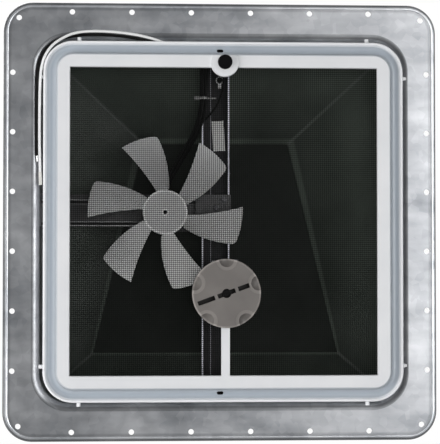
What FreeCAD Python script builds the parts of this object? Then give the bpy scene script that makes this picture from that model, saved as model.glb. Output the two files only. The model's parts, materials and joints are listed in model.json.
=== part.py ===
"""Roof vent fan for a caravan roof opening, as an assembly of separate pieces.

Millimetres. The origin is the centre of the flange's underside, the roof plane. +Z points up
to the lid, +Y to the lid's hinge. The room side, with the screen and the knob, is at -Z.
"""
import FreeCAD
import Part
import math
import os

V = FreeCAD.Vector
ORIGIN = V(0, 0, 0)
X_AXIS = V(1, 0, 0)
Y_AXIS = V(0, 1, 0)
Z_AXIS = V(0, 0, 1)

# Roof flange and collar
collar_inner = 383.0
collar_corner = 31.0
collar_bend = 8.0
collar_height = 58.0
collar_lip = 4.0
sheet = 1.2
border_x = 38.5
border_y = 40.5
flange_corner = 31.0
lip_height = 5.0
lip_bend = 3.2
row_holes = 6
hole_pitch = 63.0
hole_edge = 10.0
corner_hole_edge = 16.5
hole_radius = 2.9

# Screen frame
frame_shift = 3.0
frame_room = 1.0
frame_border = 28.5
frame_corner = 32.0
frame_wall = 2.0
edge_front = -7.0
edge_back = -1.0
edge_round = 1.5
skirt_step = 3.0
skirt_back = 12.0
cove_in = 7.9
cove_level = -8.0
cove_radius = 5.5
ring_front = -14.0
ring_lean = 0.8
ring_round = 1.6
opening_wall = 3.0
opening_depth = 5.0
opening_round = 1.2
peg_corner = 37.5
peg_radius = 2.2
peg_level = 2.0
peg_reach = 4.5
trim_slot_inset = 9.5
trim_slot_length = 7.0
trim_slot_width = 3.6
trim_slot_x = -1.0

# Insect screen
screen_thickness = 0.8
screen_gaps = 16
screen_strand = 2.0
screen_patch = 11.0
bead_height = 3.0

# Push switch
switch_x = 3.5
switch_set = 5.2
boss_radius = 15.0
boss_proud = 2.0
boss_depth = 5.0
boss_round = 1.0
button_radius = 7.6
button_height = 4.0
button_round = 1.4
button_travel = 2.5
stem_radius = 3.0
stem_seat = 2.0
neck_radius = 5.0
neck_inset = 0.5
switch_radius = 7.2
switch_depth = 22.0
nut_radius = 7.6
nut_height = 2.4
turret_height = 6.0
pin_spread = 3.5
pin_width = 3.0
pin_thickness = 0.8
pin_length = 6.0

# Cross channel
channel_left = -10.8
channel_right = 10.6
channel_steel = 1.5
channel_drop = 28.0
channel_depth = 13.5
ledge_width = 8.4
ledge_height = 7.5
tab_height = 14.0
tab_inset = 2.0
tab_rivet_inset = 6.0

# Rivets
rivet_radius = 1.6
rivet_head = 3.2
rivet_tail = 2.7
rivet_height = 1.2
rivet_round = 0.7
rivet_margin = 1.0

# Motor arm
fan_x = -59.0
fan_y = -10.0
arm_steel = 1.5
arm_width = 40.0
arm_web = 19.4
arm_lip = 6.5
arm_raise = 7.5
arm_plate_start = -24.6
arm_plate_end = 12.0
arm_lip_start = -94.6
arm_corner = 5.0
arm_tab_height = 18.0
arm_foot_spread = 6.5
arm_foot_height = 7.2
plate_rivet_right = 5.0
plate_rivet_left = 5.5
plate_rivet_far = 14.6
plate_rivet_near = 5.7

# Motor
can_radius = 22.0
can_height = 40.0
can_wall = 1.5
cap_height = 5.0
cap_round = 2.5
magnet_thickness = 4.0
magnet_split = 12.0
rotor_radius = 14.0
rotor_height = 24.0
rotor_slots = 5
rotor_slot_width = 2.4
rotor_slot_depth = 5.0
shaft_radius = 2.5
shaft_proud = 1.0
bush_radius = 5.0
bush_height = 5.0
motor_screw_circle = 14.5

# Fan
hub_radius = 23.7
hub_gap = 7.5
hub_depth = 17.0
hub_wall = 2.0
hub_boss = 6.0
hub_rim_width = 1.8
hub_rim_height = 1.0
hub_rim_round = 0.6
hub_ring_radius = 4.6
hub_ring_height = 0.5
hub_hole = 3.4
shaft_short = 3.0
band_width = 3.0
band_thickness = 1.2
band_back = 1.0
blade_count = 6
blade_phase = 0.0
blade_reach = 82.4
blade_thickness = 1.8
blade_set = 9.0
blade_half_chord = 30.0
blade_corner = 5.0
blade_depth = 40.0
blade_overrun = 3.0
root_pitch = 42.0
tip_pitch = 20.0
root_shift = 13.0
root_low_angle = 40.0
root_high_angle = 8.0
tip_high_angle = -4.0
tip_low_angle = 24.0
high_bow = 1.9
low_bow = 4.6

# Crank
crank_x = 4.2
crank_y = 75.5
crank_radius = 3.0
crank_notch = 6.5
knob_radius = 35.8
knob_front = -36.0
knob_depth = 17.5
knob_wall = 3.0
knob_edge = 2.0
dip_count = 5
dip_centre = 35.0
dip_radius = 11.2
dip_step = 0.8
bowl_radius = 9.5
bowl_depth = 4.2
grip_angle = -20.0
grip_width = 4.8
grip_depth = 8.5
grip_near = 25.0
grip_far = 31.5
grip_bridge = 3.2
grip_bridge_place = 11.3
knob_hole = 4.8
knob_boss = 9.0
knob_screw_depth = 5.0
screw_head_room = 0.8
screw_head_height = 2.2
screw_slot_width = 1.0
screw_slot_depth = 1.0
post_width = 9.0
post_boss = 12.0
post_thickness = 3.8

# Worm and gear sector
gear_module = 1.0
gear_teeth = 30
sector_teeth = 13
sector_lead_teeth = 2
dedendum = 1.25
tooth_root_half = 0.85
tooth_tip_half = 0.3
gear_thickness = 4.0
gear_rise = 19.0
worm_radius = 5.5
worm_turns = 5
worm_phase = 0.75
thread_base = 1.8
thread_tip = 0.6
thread_bury = 0.3
thread_run_out = 1.5

# Gear bracket and bushes
bracket_steel = 2.0
bracket_inset = 0.3
bracket_right = 21.0
bracket_ahead = 35.5
bracket_behind = 12.5
bracket_rivet_inset = 5.0
bridge_room = 3.0
bridge_ahead = 7.5
ear_gap = 0.5
ear_width = 16.0
crank_bush_radius = 5.4
crank_bush_flange = 7.5
clip_radius = 5.0
clip_thickness = 1.0
clip_groove = 0.6
clip_mouth = 3.6
shaft_end = 2.5

# Lift arm
pivot_radius = 3.0
pivot_head = 5.0
pivot_head_height = 2.0
pivot_end = 3.0
pivot_clip_radius = 5.2
pivot_clip_thickness = 1.2
sector_hub = 7.0
hub_side = 1.5
lift_width = 11.0
track_rise = 1.3
roller_radius = 4.5
roller_pin_radius = 2.5
roller_length = 3.4
roller_head = 4.5
roller_head_height = 2.0
roller_cap = 6.0
roller_cap_height = 1.2
lid_opening = 45.0

# Lid
lid_room = 13.5
lid_corner = 30.0
lid_wall = 2.5
lid_skirt_drop = 8.0
lid_rim_rise = 4.0
lid_rim_round = 2.0
dome_room = 2.5
dome_rise = 36.0
dome_lap = 0.5
slope_inset = 1.5
panel_shift = -1.5
panel_far_y = -89.5
panel_near_y = 144.5
panel_far_half = 81.0
panel_near_half = 137.0
panel_step = 2.0
panel_margin = 14.0
seal_width = 6.0
seal_gap = 0.3
seal_fit = 0.2
track_steel = 2.0
track_gap = 1.5
track_foot = 14.0
track_margin = 8.0
track_slot_wall = 2.5
track_rivet_inset = 7.7
track_rivet_end = 13.0

# Hinges
hinge_out = 5.0
hinge_place = 120.0
hinge_width = 60.0
hinge_steel = 1.5
hinge_plate_drop = 32.0
hinge_rivet_drop = 25.0
hinge_rivet_spread = 20.0
hinge_shelf_drop = 14.5
leaf_width = 86.0
leaf_inset = 1.0
leaf_rivet_place = 37.0
lug_half = 2.1
knuckle_radius = 3.0
knuckle_share = 20.0
hinge_pin_radius = 1.5
hinge_pin_head = 2.6
hinge_pin_head_height = 1.7
hinge_pin_proud = 1.0

# Clearances
running_fit = 0.05
rivet_fit = 0.1
side_gap = 0.5
slide_gap = 0.3
past = 1.0
tiny = 0.01

# Wiring
cable_radius = 4.0
lead_radius = 1.5
switch_lead_radius = 1.2
cable_end_gap = 1.5
switch_lead_drop = 5.0
clip_left = -34.0
clip_right = -16.0
clip_room = 1.0
clip_depth = 16.5
clip_height = 11.5
clip_round = 2.5
tie_width = 2.4
tie_thickness = 0.9
tie_head_length = 4.6
tie_head_width = 3.6
tie_head_height = 3.6
tie_tail_length = 8.4
tie_tail_width = 1.6
tie_bury = 0.2
terminal_x = 0.6
terminal_y = -155.1
terminal_radius = 4.2
terminal_thickness = 1.0
tongue_width = 3.2
tongue_length = 4.5
ground_radius = 1.8
ground_head = 3.2
ground_head_height = 1.6
ground_end = 2.0
tag_x = -0.7
tag_y = -94.2
tag_width = 13.0
tag_length = 33.0
tag_thickness = 0.3
tag_tilt = 3.0
white_end_length = 13.9
white_end_radius = 1.8
black_end_length = 6.0
black_end_radius = 0.8
cord_share = 0.45

# Derived places
collar_half = collar_inner / 2
flange_half_x = collar_half + border_x
flange_half_y = collar_half + border_y
frame_half = collar_half - frame_room
skirt_half = frame_half - skirt_step
opening_half = frame_half - frame_border
inner_wall = opening_half + opening_wall
screen_seat = ring_front + opening_depth
ring_in = cove_in + cove_radius + ring_lean
channel_front = collar_height - channel_drop
channel_back = channel_front + channel_depth
channel_web = channel_back - channel_steel
arm_front = channel_front - arm_steel
arm_web_back = channel_front + arm_raise
arm_web_front = arm_web_back - arm_steel
hub_back = arm_front - hub_gap
hub_front = hub_back - hub_depth
blade_middle = hub_front + blade_set
gear_pitch_radius = gear_module * gear_teeth / 2
gear_tip = gear_pitch_radius + gear_module
gear_root = gear_pitch_radius - dedendum * gear_module
gear_left = crank_x - gear_thickness / 2
gear_right = crank_x + gear_thickness / 2
pivot_y = crank_y - worm_radius - gear_pitch_radius
gear_height = channel_back + gear_rise
pivot_z = gear_height
lid_half = collar_half + lid_room
lid_skirt_bottom = collar_height - lid_skirt_drop
lid_rim = collar_height + lid_rim_rise
dome_top = collar_height + dome_rise
hinge_y = lid_half + hinge_out
hinge_z = collar_height
arm_reach = math.hypot(hinge_y - pivot_y, pivot_z - hinge_z)
base_tilt = math.atan2(pivot_z - hinge_z, hinge_y - pivot_y)
lift_tilt = base_tilt + 2 * math.radians(track_rise)
track_tilt = base_tilt + math.radians(track_rise)
roller_y = pivot_y - arm_reach * math.cos(lift_tilt)
roller_z = pivot_z + arm_reach * math.sin(lift_tilt)
worm_lead = math.pi * gear_module
worm_length = worm_turns * worm_lead
worm_bottom = gear_height - (worm_phase + (worm_turns - 1) / 2) * worm_lead
worm_low = worm_bottom - thread_run_out
worm_high = worm_bottom + worm_length + thread_run_out
bridge_height = worm_high + bridge_room
slant = math.sqrt(0.5)

os.makedirs("parts", exist_ok=True)


def save(shape, node):
    """Write one sub-part, after a look at its solids."""
    if not shape.isValid():
        print("not valid:", node)
    print(node, "solids", len(shape.Solids), "volume", round(shape.Volume, 1))
    shape.exportStep("parts/" + node + ".step")


def box(x0, x1, y0, y1, z0, z1):
    return Part.makeBox(x1 - x0, y1 - y0, z1 - z0, V(x0, y0, z0))


def square(half, z0, z1):
    """Square block on the screen frame's axis."""
    return box(frame_shift - half, frame_shift + half, -half, half, z0, z1)


def rod(radius, base, tip):
    """Cylinder from one centre point to another."""
    return Part.makeCylinder(radius, (tip - base).Length, base, tip - base)


def tube(outer, inner, base, tip):
    return rod(outer, base, tip).cut(rod(inner, base, tip))


def upright(x, y):
    """Function that gives the points of an upright axis by their height."""
    return lambda z: V(x, y, z)


def edges_at(shape, z):
    """Edges that lie flat at one height."""
    return [e for e in shape.Edges if max(abs(e.BoundBox.ZMin - z), abs(e.BoundBox.ZMax - z)) < tiny]


def upright_edges(shape):
    return [e for e in shape.Edges if abs(e.tangentAt(e.FirstParameter).z) > slant]


def outline_face(steps, place):
    """Face bounded by lines and arcs. A step of four numbers arrives by an arc through its last two."""
    ends = [place(step[0], step[1]) for step in steps]
    edges = []
    for i, step in enumerate(steps):
        start = ends[i - 1]
        if len(step) == 4:
            edges.append(Part.Arc(start, place(step[2], step[3]), ends[i]).toShape())
        else:
            edges.append(Part.LineSegment(start, ends[i]).toShape())
    return Part.Face(Part.Wire(edges))


def rounded_plate(half_x, half_y, corner, z0, z1):
    """Plate with rounded corners."""
    plate = box(-half_x, half_x, -half_y, half_y, z0, z1)
    return plate.makeFillet(corner, upright_edges(plate))


def square_ring(steps, half, corner, centre_x=0.0):
    """Sweep a section round a rounded square. Its first numbers run outwards from the square's side."""
    straight = half - corner
    face = outline_face(steps, lambda u, z: V(half + u, straight, z))
    pieces = []
    for turn in range(4):
        bend = face.revolve(V(straight, straight, 0), Z_AXIS, 90)
        side = face.extrude(V(0, -2 * straight, 0))
        for piece in (bend, side):
            piece.rotate(ORIGIN, Z_AXIS, 90 * turn)
            piece.translate(V(centre_x, 0, 0))
            pieces.append(piece)
    return pieces[0].multiFuse(pieces[1:]).removeSplitter()


def rivet(foot, axis, grip):
    """Rivet with a domed head at its foot and a flat tail past the gripped sheets."""
    shank = Part.makeCylinder(rivet_radius, grip, foot, axis)
    head = Part.makeCylinder(rivet_head, rivet_height, foot - axis * rivet_height, axis)
    tail = Part.makeCylinder(rivet_tail, rivet_height, foot + axis * grip, axis)
    rim = [e for e in head.Edges if abs((e.CenterOfMass - foot).dot(axis) + rivet_height) < tiny]
    head = head.makeFillet(rivet_round, rim)
    return head.fuse([shank, tail]).removeSplitter()


def rivet_hole(foot, axis, depth):
    """Clearance hole for a rivet, through the sheets on either side of its foot."""
    reach = depth + past
    return Part.makeCylinder(rivet_radius + rivet_fit, 2 * reach, foot - axis * reach, axis)


def cord(points, radius, name):
    """Tube along straight runs joined by the largest tangent arcs that they allow."""
    edges = []
    here = points[0]
    radii = []
    for before, corner, after in zip(points, points[1:], points[2:]):
        run_in = corner - before
        run_out = after - corner
        reach = cord_share * min(run_in.Length, run_out.Length)
        turn = run_in.getAngle(run_out)
        bend = reach / math.tan(turn / 2)
        radii.append(round(bend, 1))
        run_in.normalize()
        run_out.normalize()
        inward = run_out - run_in
        inward.normalize()
        start = corner - run_in * reach
        finish = corner + run_out * reach
        middle = corner + inward * (bend / math.cos(turn / 2) - bend)
        edges.append(Part.LineSegment(here, start).toShape())
        edges.append(Part.Arc(start, middle, finish).toShape())
        here = finish
    edges.append(Part.LineSegment(here, points[-1]).toShape())
    path = Part.Wire(edges)
    section = Part.Wire(Part.makeCircle(radius, points[0], points[1] - points[0]))
    shell = Part.BRepOffsetAPI.MakePipeShell(path)
    shell.add(section)
    shell.build()
    shell.makeSolid()
    solid = shell.shape()
    share = solid.Volume / (math.pi * radius ** 2 * path.Length)
    print(name, "length", round(path.Length, 1), "radii", radii, "volume share", round(share, 4))
    return solid


# Places that two pieces share: pegs, and the rivets on the collar

peg_places = []
peg_along = frame_half - peg_corner
for side in (-1, 1):
    for along in (-peg_along, peg_along):
        peg_places.append((V(frame_shift + along, 0, peg_level), V(0, side, 0)))
        peg_places.append((V(frame_shift, along, peg_level), V(side, 0, 0)))

tab_rivet_places = []
for end in (-1, 1):
    for rivet_x in (channel_left + tab_rivet_inset, channel_right - tab_rivet_inset):
        foot = V(rivet_x, end * collar_half, channel_back + tab_height / 2)
        tab_rivet_places.append((foot, V(0, end, 0)))
arm_foot_places = []
for rivet_y in (fan_y - arm_foot_spread, fan_y + arm_foot_spread):
    arm_foot_places.append((V(-collar_half, rivet_y, arm_web_back + arm_foot_height), -X_AXIS))
hinge_rivet_places = []
for hinge_x in (-hinge_place, hinge_place):
    for rivet_x in (hinge_x - hinge_rivet_spread, hinge_x + hinge_rivet_spread):
        hinge_rivet_places.append(V(rivet_x, collar_half, hinge_z - hinge_rivet_drop))

# Roof flange: plate with its edge turned up, and a collar bent up round the opening

tray = rounded_plate(flange_half_x, flange_half_y, flange_corner, 0, lip_height)
tray = tray.makeFillet(lip_bend, edges_at(tray, 0))
pocket = rounded_plate(flange_half_x - sheet, flange_half_y - sheet, flange_corner - sheet, sheet,
                       lip_height + past)
pocket = pocket.makeFillet(lip_bend - sheet, edges_at(pocket, sheet))
bend_reach = collar_bend + sheet + past
well_half = collar_half + bend_reach
well = rounded_plate(well_half, well_half, collar_corner + bend_reach, -past, lip_height + past)
outer_bow = collar_bend * (1 - slant)
inner_bow = collar_bend - (collar_bend - sheet) * slant
collar_steps = [
    (bend_reach, sheet),
    (bend_reach, 0),
    (collar_bend, 0),
    (0, collar_bend, outer_bow, outer_bow),
    (0, collar_height),
    (collar_lip, collar_height),
    (collar_lip, collar_height - sheet),
    (sheet, collar_height - sheet),
    (sheet, collar_bend),
    (collar_bend, sheet, inner_bow, inner_bow),
]
roof_flange = tray.cut([pocket, well]).fuse(square_ring(collar_steps, collar_half, collar_corner))
hole_places = []
for side in (-1, 1):
    for k in range(row_holes):
        along = hole_pitch * (k - (row_holes - 1) / 2)
        hole_places.append((along, side * (flange_half_y - hole_edge)))
        hole_places.append((side * (flange_half_x - hole_edge), along))
    for other in (-1, 1):
        corner_x = side * (flange_half_x - corner_hole_edge)
        hole_places.append((corner_x, other * (flange_half_y - corner_hole_edge)))
flange_cuts = []
for x, y in hole_places:
    flange_cuts.append(rod(hole_radius, V(x, y, -past), V(x, y, sheet + past)))
for middle, axis in peg_places:
    flange_cuts.append(rod(peg_radius + rivet_fit, middle + axis * skirt_half,
                           middle + axis * (frame_half + peg_reach + slide_gap)))
for foot, axis in tab_rivet_places + arm_foot_places:
    flange_cuts.append(rivet_hole(foot, axis, sheet))
for foot in hinge_rivet_places:
    flange_cuts.append(rivet_hole(foot, Y_AXIS, sheet))
roof_flange = roof_flange.cut(flange_cuts).removeSplitter()
save(roof_flange, "roof_flange")

# Screen frame: rolled edge with a skirt behind it, cove and flat ring, with pegs, knob post and switch boss

cove_top = cove_level + cove_radius
cove_start = cove_level + math.sqrt(cove_radius ** 2 - (cove_in - 2 * edge_round) ** 2)
back_radius = cove_radius + frame_wall
skirt_inner = skirt_step + frame_wall
skirt_foot = cove_level + math.sqrt(back_radius ** 2 - (cove_in - skirt_inner) ** 2)
ring_end = frame_half - opening_half - opening_wall / 2
round_bow = ring_round * (1 - slant)
frame_steps = [
    (-skirt_step, skirt_back),
    (-skirt_step, edge_back),
    (0, edge_back),
    (0, edge_front + edge_round),
    (-2 * edge_round, cove_start, -edge_round, edge_front),
    (-cove_in - cove_radius, cove_level, -cove_in, cove_top),
    (-ring_in, ring_front + ring_round),
    (-ring_in - ring_round, ring_front, -ring_in - round_bow, ring_front + round_bow),
    (-ring_end, ring_front),
    (-ring_end, ring_front + frame_wall),
    (-ring_in - frame_wall, ring_front + frame_wall),
    (-cove_in - back_radius, cove_level),
    (-skirt_inner, skirt_foot, -cove_in, cove_level + back_radius),
    (-skirt_inner, skirt_back),
]
screen_frame = square_ring(frame_steps, frame_half, frame_corner, frame_shift)
wall_ring = square(inner_wall, ring_front, screen_seat)
wall_ring = wall_ring.cut(square(opening_half, ring_front - past, screen_seat + past))
mouth_edges = []
for edge in edges_at(wall_ring, ring_front):
    across = max(abs(edge.CenterOfMass.x - frame_shift), abs(edge.CenterOfMass.y))
    if across < opening_half + tiny:
        mouth_edges.append(edge)
wall_ring = wall_ring.makeFillet(opening_round, mouth_edges)

on_crank = upright(crank_x, crank_y)
post = box(crank_x - post_width / 2, crank_x + post_width / 2, crank_y, inner_wall - opening_wall / 2,
           ring_front, ring_front + post_thickness)
post_end = rod(post_boss, on_crank(ring_front), on_crank(screen_seat))
pegs = []
for middle, axis in peg_places:
    pegs.append(rod(peg_radius, middle + axis * (skirt_half - frame_wall / 2),
                    middle + axis * (frame_half + peg_reach)))

switch_y = -opening_half - switch_set
on_switch = upright(switch_x, switch_y)
boss_front = ring_front - boss_proud
boss_back = boss_front + boss_depth
switch_room_radius = nut_radius + side_gap
turret_radius = switch_room_radius + frame_wall
turret_top = boss_back + turret_height
switch_boss = rod(boss_radius, on_switch(boss_front), on_switch(boss_back))
switch_boss = switch_boss.makeFillet(boss_round, edges_at(switch_boss, boss_front))
turret = rod(turret_radius, on_switch(boss_back - past), on_switch(turret_top))
ring_edge_y = -frame_half + ring_in + ring_round
above_ring = box(switch_x - frame_half, switch_x + frame_half, -frame_half, ring_edge_y, boss_front - past,
                 turret_top + past)
switch_boss = switch_boss.fuse(turret).cut(above_ring)
screen_frame = screen_frame.fuse([wall_ring, post, post_end, switch_boss] + pegs)
frame_cuts = [
    rod(crank_radius + running_fit, on_crank(ring_front - past), on_crank(screen_seat + past)),
    rod(neck_radius + rivet_fit, on_switch(boss_front - past), on_switch(boss_back + past)),
    rod(switch_room_radius, on_switch(boss_back), on_switch(skirt_back)),
]
slot_end = (trim_slot_length - trim_slot_width) / 2
slot_half = trim_slot_width / 2
for side in (-1, 1):
    on_slot = side * (frame_half - trim_slot_inset)
    slot_low = cove_top - frame_wall
    slot_high = cove_top + 2 * frame_wall
    for shift in (-slot_end, slot_end):
        slot_round = upright(trim_slot_x + shift, on_slot)
        frame_cuts.append(rod(slot_half, slot_round(slot_low), slot_round(slot_high)))
    frame_cuts.append(box(trim_slot_x - slot_end, trim_slot_x + slot_end, on_slot - slot_half,
                          on_slot + slot_half, slot_low, slot_high))
screen_frame = screen_frame.cut(frame_cuts).removeSplitter()
save(screen_frame, "screen_frame")

# Insect screen and the bead that clamps it to the ring's inner wall

screen_half = inner_wall - side_gap
screen_top = screen_seat + screen_thickness
bead_top = screen_top + bead_height
screen_low = screen_seat - past
screen_high = screen_top + past
screen_pitch = (2 * opening_half + screen_strand) / screen_gaps
gap_size = screen_pitch - screen_strand
patch = rod(screen_patch, on_crank(screen_low), on_crank(screen_high))
screen_cuts = []
for column in range(screen_gaps):
    for row in range(screen_gaps):
        gap_x = frame_shift - opening_half + column * screen_pitch
        gap_y = -opening_half + row * screen_pitch
        gap = box(gap_x, gap_x + gap_size, gap_y, gap_y + gap_size, screen_low, screen_high)
        near_x = min(max(crank_x, gap_x), gap_x + gap_size)
        near_y = min(max(crank_y, gap_y), gap_y + gap_size)
        if math.hypot(near_x - crank_x, near_y - crank_y) < screen_patch:
            gap = gap.cut(patch)
        screen_cuts.append(gap)
turret_gap = rod(turret_radius + slide_gap, on_switch(screen_low), on_switch(bead_top + past))
screen_cuts.append(rod(crank_radius + side_gap, on_crank(screen_low), on_crank(screen_high)))
screen_cuts.append(turret_gap)
save(square(screen_half, screen_seat, screen_top).cut(screen_cuts), "insect_screen")
bead = square(screen_half, screen_top, bead_top)
bead_hole = square(opening_half, screen_top - past, bead_top + past)
save(bead.cut([bead_hole, turret_gap]), "screen_bead")

# Push switch: body behind the boss, nut, and a cap on a sliding stem

body_bottom = boss_back + nut_height
body_top = body_bottom + switch_depth
switch_pieces = [rod(neck_radius, on_switch(boss_front + neck_inset), on_switch(body_bottom))]
for pin_x in (switch_x - pin_spread, switch_x + pin_spread):
    switch_pieces.append(box(pin_x - pin_width / 2, pin_x + pin_width / 2, switch_y - pin_thickness / 2,
                             switch_y + pin_thickness / 2, body_top, body_top + pin_length))
stem_top = body_bottom + stem_seat
cap_back = boss_front - button_travel - slide_gap
cap_front = cap_back - button_height
stem_stop = stem_top + button_travel + slide_gap
stem_bore = rod(stem_radius + running_fit, on_switch(boss_front), on_switch(stem_stop))
switch_body = rod(switch_radius, on_switch(body_bottom), on_switch(body_top))
save(switch_body.fuse(switch_pieces).cut(stem_bore), "switch_body")
save(tube(nut_radius, neck_radius + rivet_fit, on_switch(boss_back), on_switch(body_bottom)), "switch_nut")
button_cap = rod(button_radius, on_switch(cap_front), on_switch(cap_back))
button_cap = button_cap.makeFillet(button_round, edges_at(button_cap, cap_front))
save(button_cap.fuse(rod(stem_radius, on_switch(cap_back), on_switch(stem_top))), "switch_button")

# Cross channel: folded section with a ledge on its left, end tabs on the collar

ledge_left = channel_left - ledge_width
ledge_back = channel_front + ledge_height
channel_steps = [
    (channel_right, channel_front),
    (channel_right, channel_back),
    (channel_left, channel_back),
    (channel_left, ledge_back),
    (ledge_left, ledge_back),
    (ledge_left, channel_front),
    (ledge_left + channel_steel, channel_front),
    (ledge_left + channel_steel, ledge_back - channel_steel),
    (channel_left + channel_steel, ledge_back - channel_steel),
    (channel_left + channel_steel, channel_web),
    (channel_right - channel_steel, channel_web),
    (channel_right - channel_steel, channel_front),
]
channel_face = outline_face(channel_steps, lambda x, z: V(x, -collar_half, z))
tabs = []
for tab_y in (-collar_half, collar_half - channel_steel):
    tabs.append(box(channel_left + tab_inset, channel_right - tab_inset, tab_y, tab_y + channel_steel,
                    channel_web, channel_back + tab_height))
cross_channel = channel_face.extrude(V(0, collar_inner, 0)).fuse(tabs)
bracket_front = crank_y - bracket_ahead
bracket_back = crank_y + bracket_behind
bracket_rivet_places = []
rivet_room = rivet_head + rivet_margin
for rivet_y in (bracket_front + rivet_room, bracket_back - bracket_steel - rivet_room):
    bracket_rivet_places.append(V(channel_left + bracket_rivet_inset, rivet_y, channel_web))
ground_seat = V(terminal_x, terminal_y, channel_web)
channel_cuts = [
    rod(crank_notch, on_crank(channel_front - past), on_crank(channel_back + past)),
    rod(ground_radius + rivet_fit, ground_seat - Z_AXIS * past,
        ground_seat + Z_AXIS * (channel_steel + past)),
]
for foot, axis in tab_rivet_places:
    channel_cuts.append(rivet_hole(foot, axis, channel_steel))
for foot in bracket_rivet_places:
    channel_cuts.append(rivet_hole(foot, Z_AXIS, channel_steel))
save(cross_channel.cut(channel_cuts).removeSplitter(), "cross_channel")
tab_rivets = []
for foot, axis in tab_rivet_places:
    tab_rivets.append(rivet(foot - axis * channel_steel, axis, channel_steel + sheet))
save(Part.makeCompound(tab_rivets), "channel_rivets")

# Motor arm: hat section from the collar's left wall, flattened where it lies on the channel

half_web = arm_web / 2
half_arm = arm_width / 2
half_foot = half_arm - arm_lip
fold = arm_steel / 2
hat_steps = [
    (fan_y - half_arm, arm_front),
    (fan_y - half_foot, arm_front),
    (fan_y - half_web, arm_web_front),
    (fan_y + half_web, arm_web_front),
    (fan_y + half_foot, arm_front),
    (fan_y + half_arm, arm_front),
    (fan_y + half_arm, channel_front),
    (fan_y + half_foot + fold, channel_front),
    (fan_y + half_web + fold, arm_web_back),
    (fan_y - half_web - fold, arm_web_back),
    (fan_y - half_foot - fold, channel_front),
    (fan_y - half_arm, channel_front),
]
hat_face = outline_face(hat_steps, lambda y, z: V(-collar_half, y, z))
motor_arm = hat_face.extrude(V(collar_half + arm_plate_start, 0, 0))
end_start = arm_plate_start - arm_steel
end_steps = [
    (fan_y - half_foot, arm_front),
    (fan_y + half_foot, arm_front),
    (fan_y + half_web, arm_web_back),
    (fan_y - half_web, arm_web_back),
]
end_wall = outline_face(end_steps, lambda y, z: V(end_start, y, z)).extrude(V(arm_steel, 0, 0))
end_plate = box(end_start, arm_plate_end, fan_y - half_arm, fan_y + half_arm, arm_front, channel_front)
arm_tab = box(-collar_half, -collar_half + arm_steel, fan_y - half_web, fan_y + half_web, arm_web_front,
              arm_web_back + arm_tab_height)
motor_arm = motor_arm.fuse([end_wall, end_plate, arm_tab])
lip_cut = box(-collar_half - past, arm_lip_start, fan_y + half_foot + arm_steel, fan_y + half_arm + past,
              arm_front - past, channel_front + past)
lip_cut_edges = []
for edge in upright_edges(lip_cut):
    if edge.CenterOfMass.x > arm_lip_start - tiny and edge.CenterOfMass.y < fan_y + half_arm:
        lip_cut_edges.append(edge)
on_fan = upright(fan_x, fan_y)
arm_cuts = [
    lip_cut.makeFillet(arm_corner, lip_cut_edges),
    rod(bush_radius + rivet_fit, on_fan(arm_front), on_fan(arm_web_back + past)),
]
plate_rivet_places = [
    V(channel_right - channel_steel - plate_rivet_right, fan_y - plate_rivet_far, arm_front),
    V(channel_left + channel_steel + plate_rivet_left, fan_y - plate_rivet_near, arm_front),
]
motor_screw_places = []
for side in (-1, 1):
    motor_screw_places.append(V(fan_x + side * motor_screw_circle, fan_y, arm_web_front))
for foot in plate_rivet_places + motor_screw_places:
    arm_cuts.append(rivet_hole(foot, Z_AXIS, arm_steel))
for foot, axis in arm_foot_places:
    arm_cuts.append(rivet_hole(foot, axis, arm_steel))
save(motor_arm.cut(arm_cuts).removeSplitter(), "motor_arm")
arm_rivets = []
for foot, axis in arm_foot_places:
    arm_rivets.append(rivet(foot - axis * arm_steel, axis, arm_steel + sheet))
for foot in plate_rivet_places:
    arm_rivets.append(rivet(foot, Z_AXIS, arm_steel))
save(Part.makeCompound(arm_rivets), "arm_rivets")

# Motor: can with magnets and bushes, cap, and the turning rotor and shaft

can_bottom = arm_web_back
can_top = can_bottom + can_height
cap_top = can_top + cap_height
can_inner = can_radius - can_wall
can_cuts = [
    rod(can_inner, on_fan(can_bottom + can_wall), on_fan(can_top + past)),
    rod(bush_radius + rivet_fit, on_fan(can_bottom - past), on_fan(can_top)),
]
for foot in motor_screw_places:
    can_cuts.append(rivet_hole(foot, Z_AXIS, arm_steel + can_wall))
save(rod(can_radius, on_fan(can_bottom), on_fan(can_top)).cut(can_cuts), "motor_can")
cap_disc = rod(can_radius, on_fan(can_top), on_fan(cap_top))
cap_disc = cap_disc.makeFillet(cap_round, edges_at(cap_disc, cap_top))
save(cap_disc.cut(rod(bush_radius + rivet_fit, on_fan(can_top - past), on_fan(cap_top + past))), "motor_cap")
bushes = []
for bush_low in (can_bottom - arm_steel, cap_top - bush_height):
    bushes.append(tube(bush_radius, shaft_radius + running_fit, on_fan(bush_low),
                       on_fan(bush_low + bush_height)))
save(Part.makeCompound(bushes), "motor_bushes")
rotor_low = can_bottom + (can_height - rotor_height) / 2
rotor_high = rotor_low + rotor_height
magnet_ring = tube(can_inner, can_inner - magnet_thickness, on_fan(rotor_low), on_fan(rotor_high))
magnet_gap = box(fan_x - magnet_split / 2, fan_x + magnet_split / 2, fan_y - can_radius, fan_y + can_radius,
                 can_bottom, can_top)
save(magnet_ring.cut(magnet_gap), "motor_magnets")
rotor_cuts = []
for k in range(rotor_slots):
    slot = box(-rotor_slot_width / 2, rotor_slot_width / 2, rotor_radius - rotor_slot_depth,
               rotor_radius + past, rotor_low - past, rotor_high + past)
    slot.rotate(ORIGIN, Z_AXIS, 360.0 / rotor_slots * k)
    slot.translate(on_fan(0))
    rotor_cuts.append(slot)
rotor = tube(rotor_radius, shaft_radius + running_fit, on_fan(rotor_low), on_fan(rotor_high))
save(rotor.cut(rotor_cuts), "motor_rotor")
hub_face = hub_front + hub_rim_height
hub_floor = hub_face + hub_wall
save(rod(shaft_radius, on_fan(hub_floor + shaft_short), on_fan(cap_top + shaft_proud)), "motor_shaft")
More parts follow.
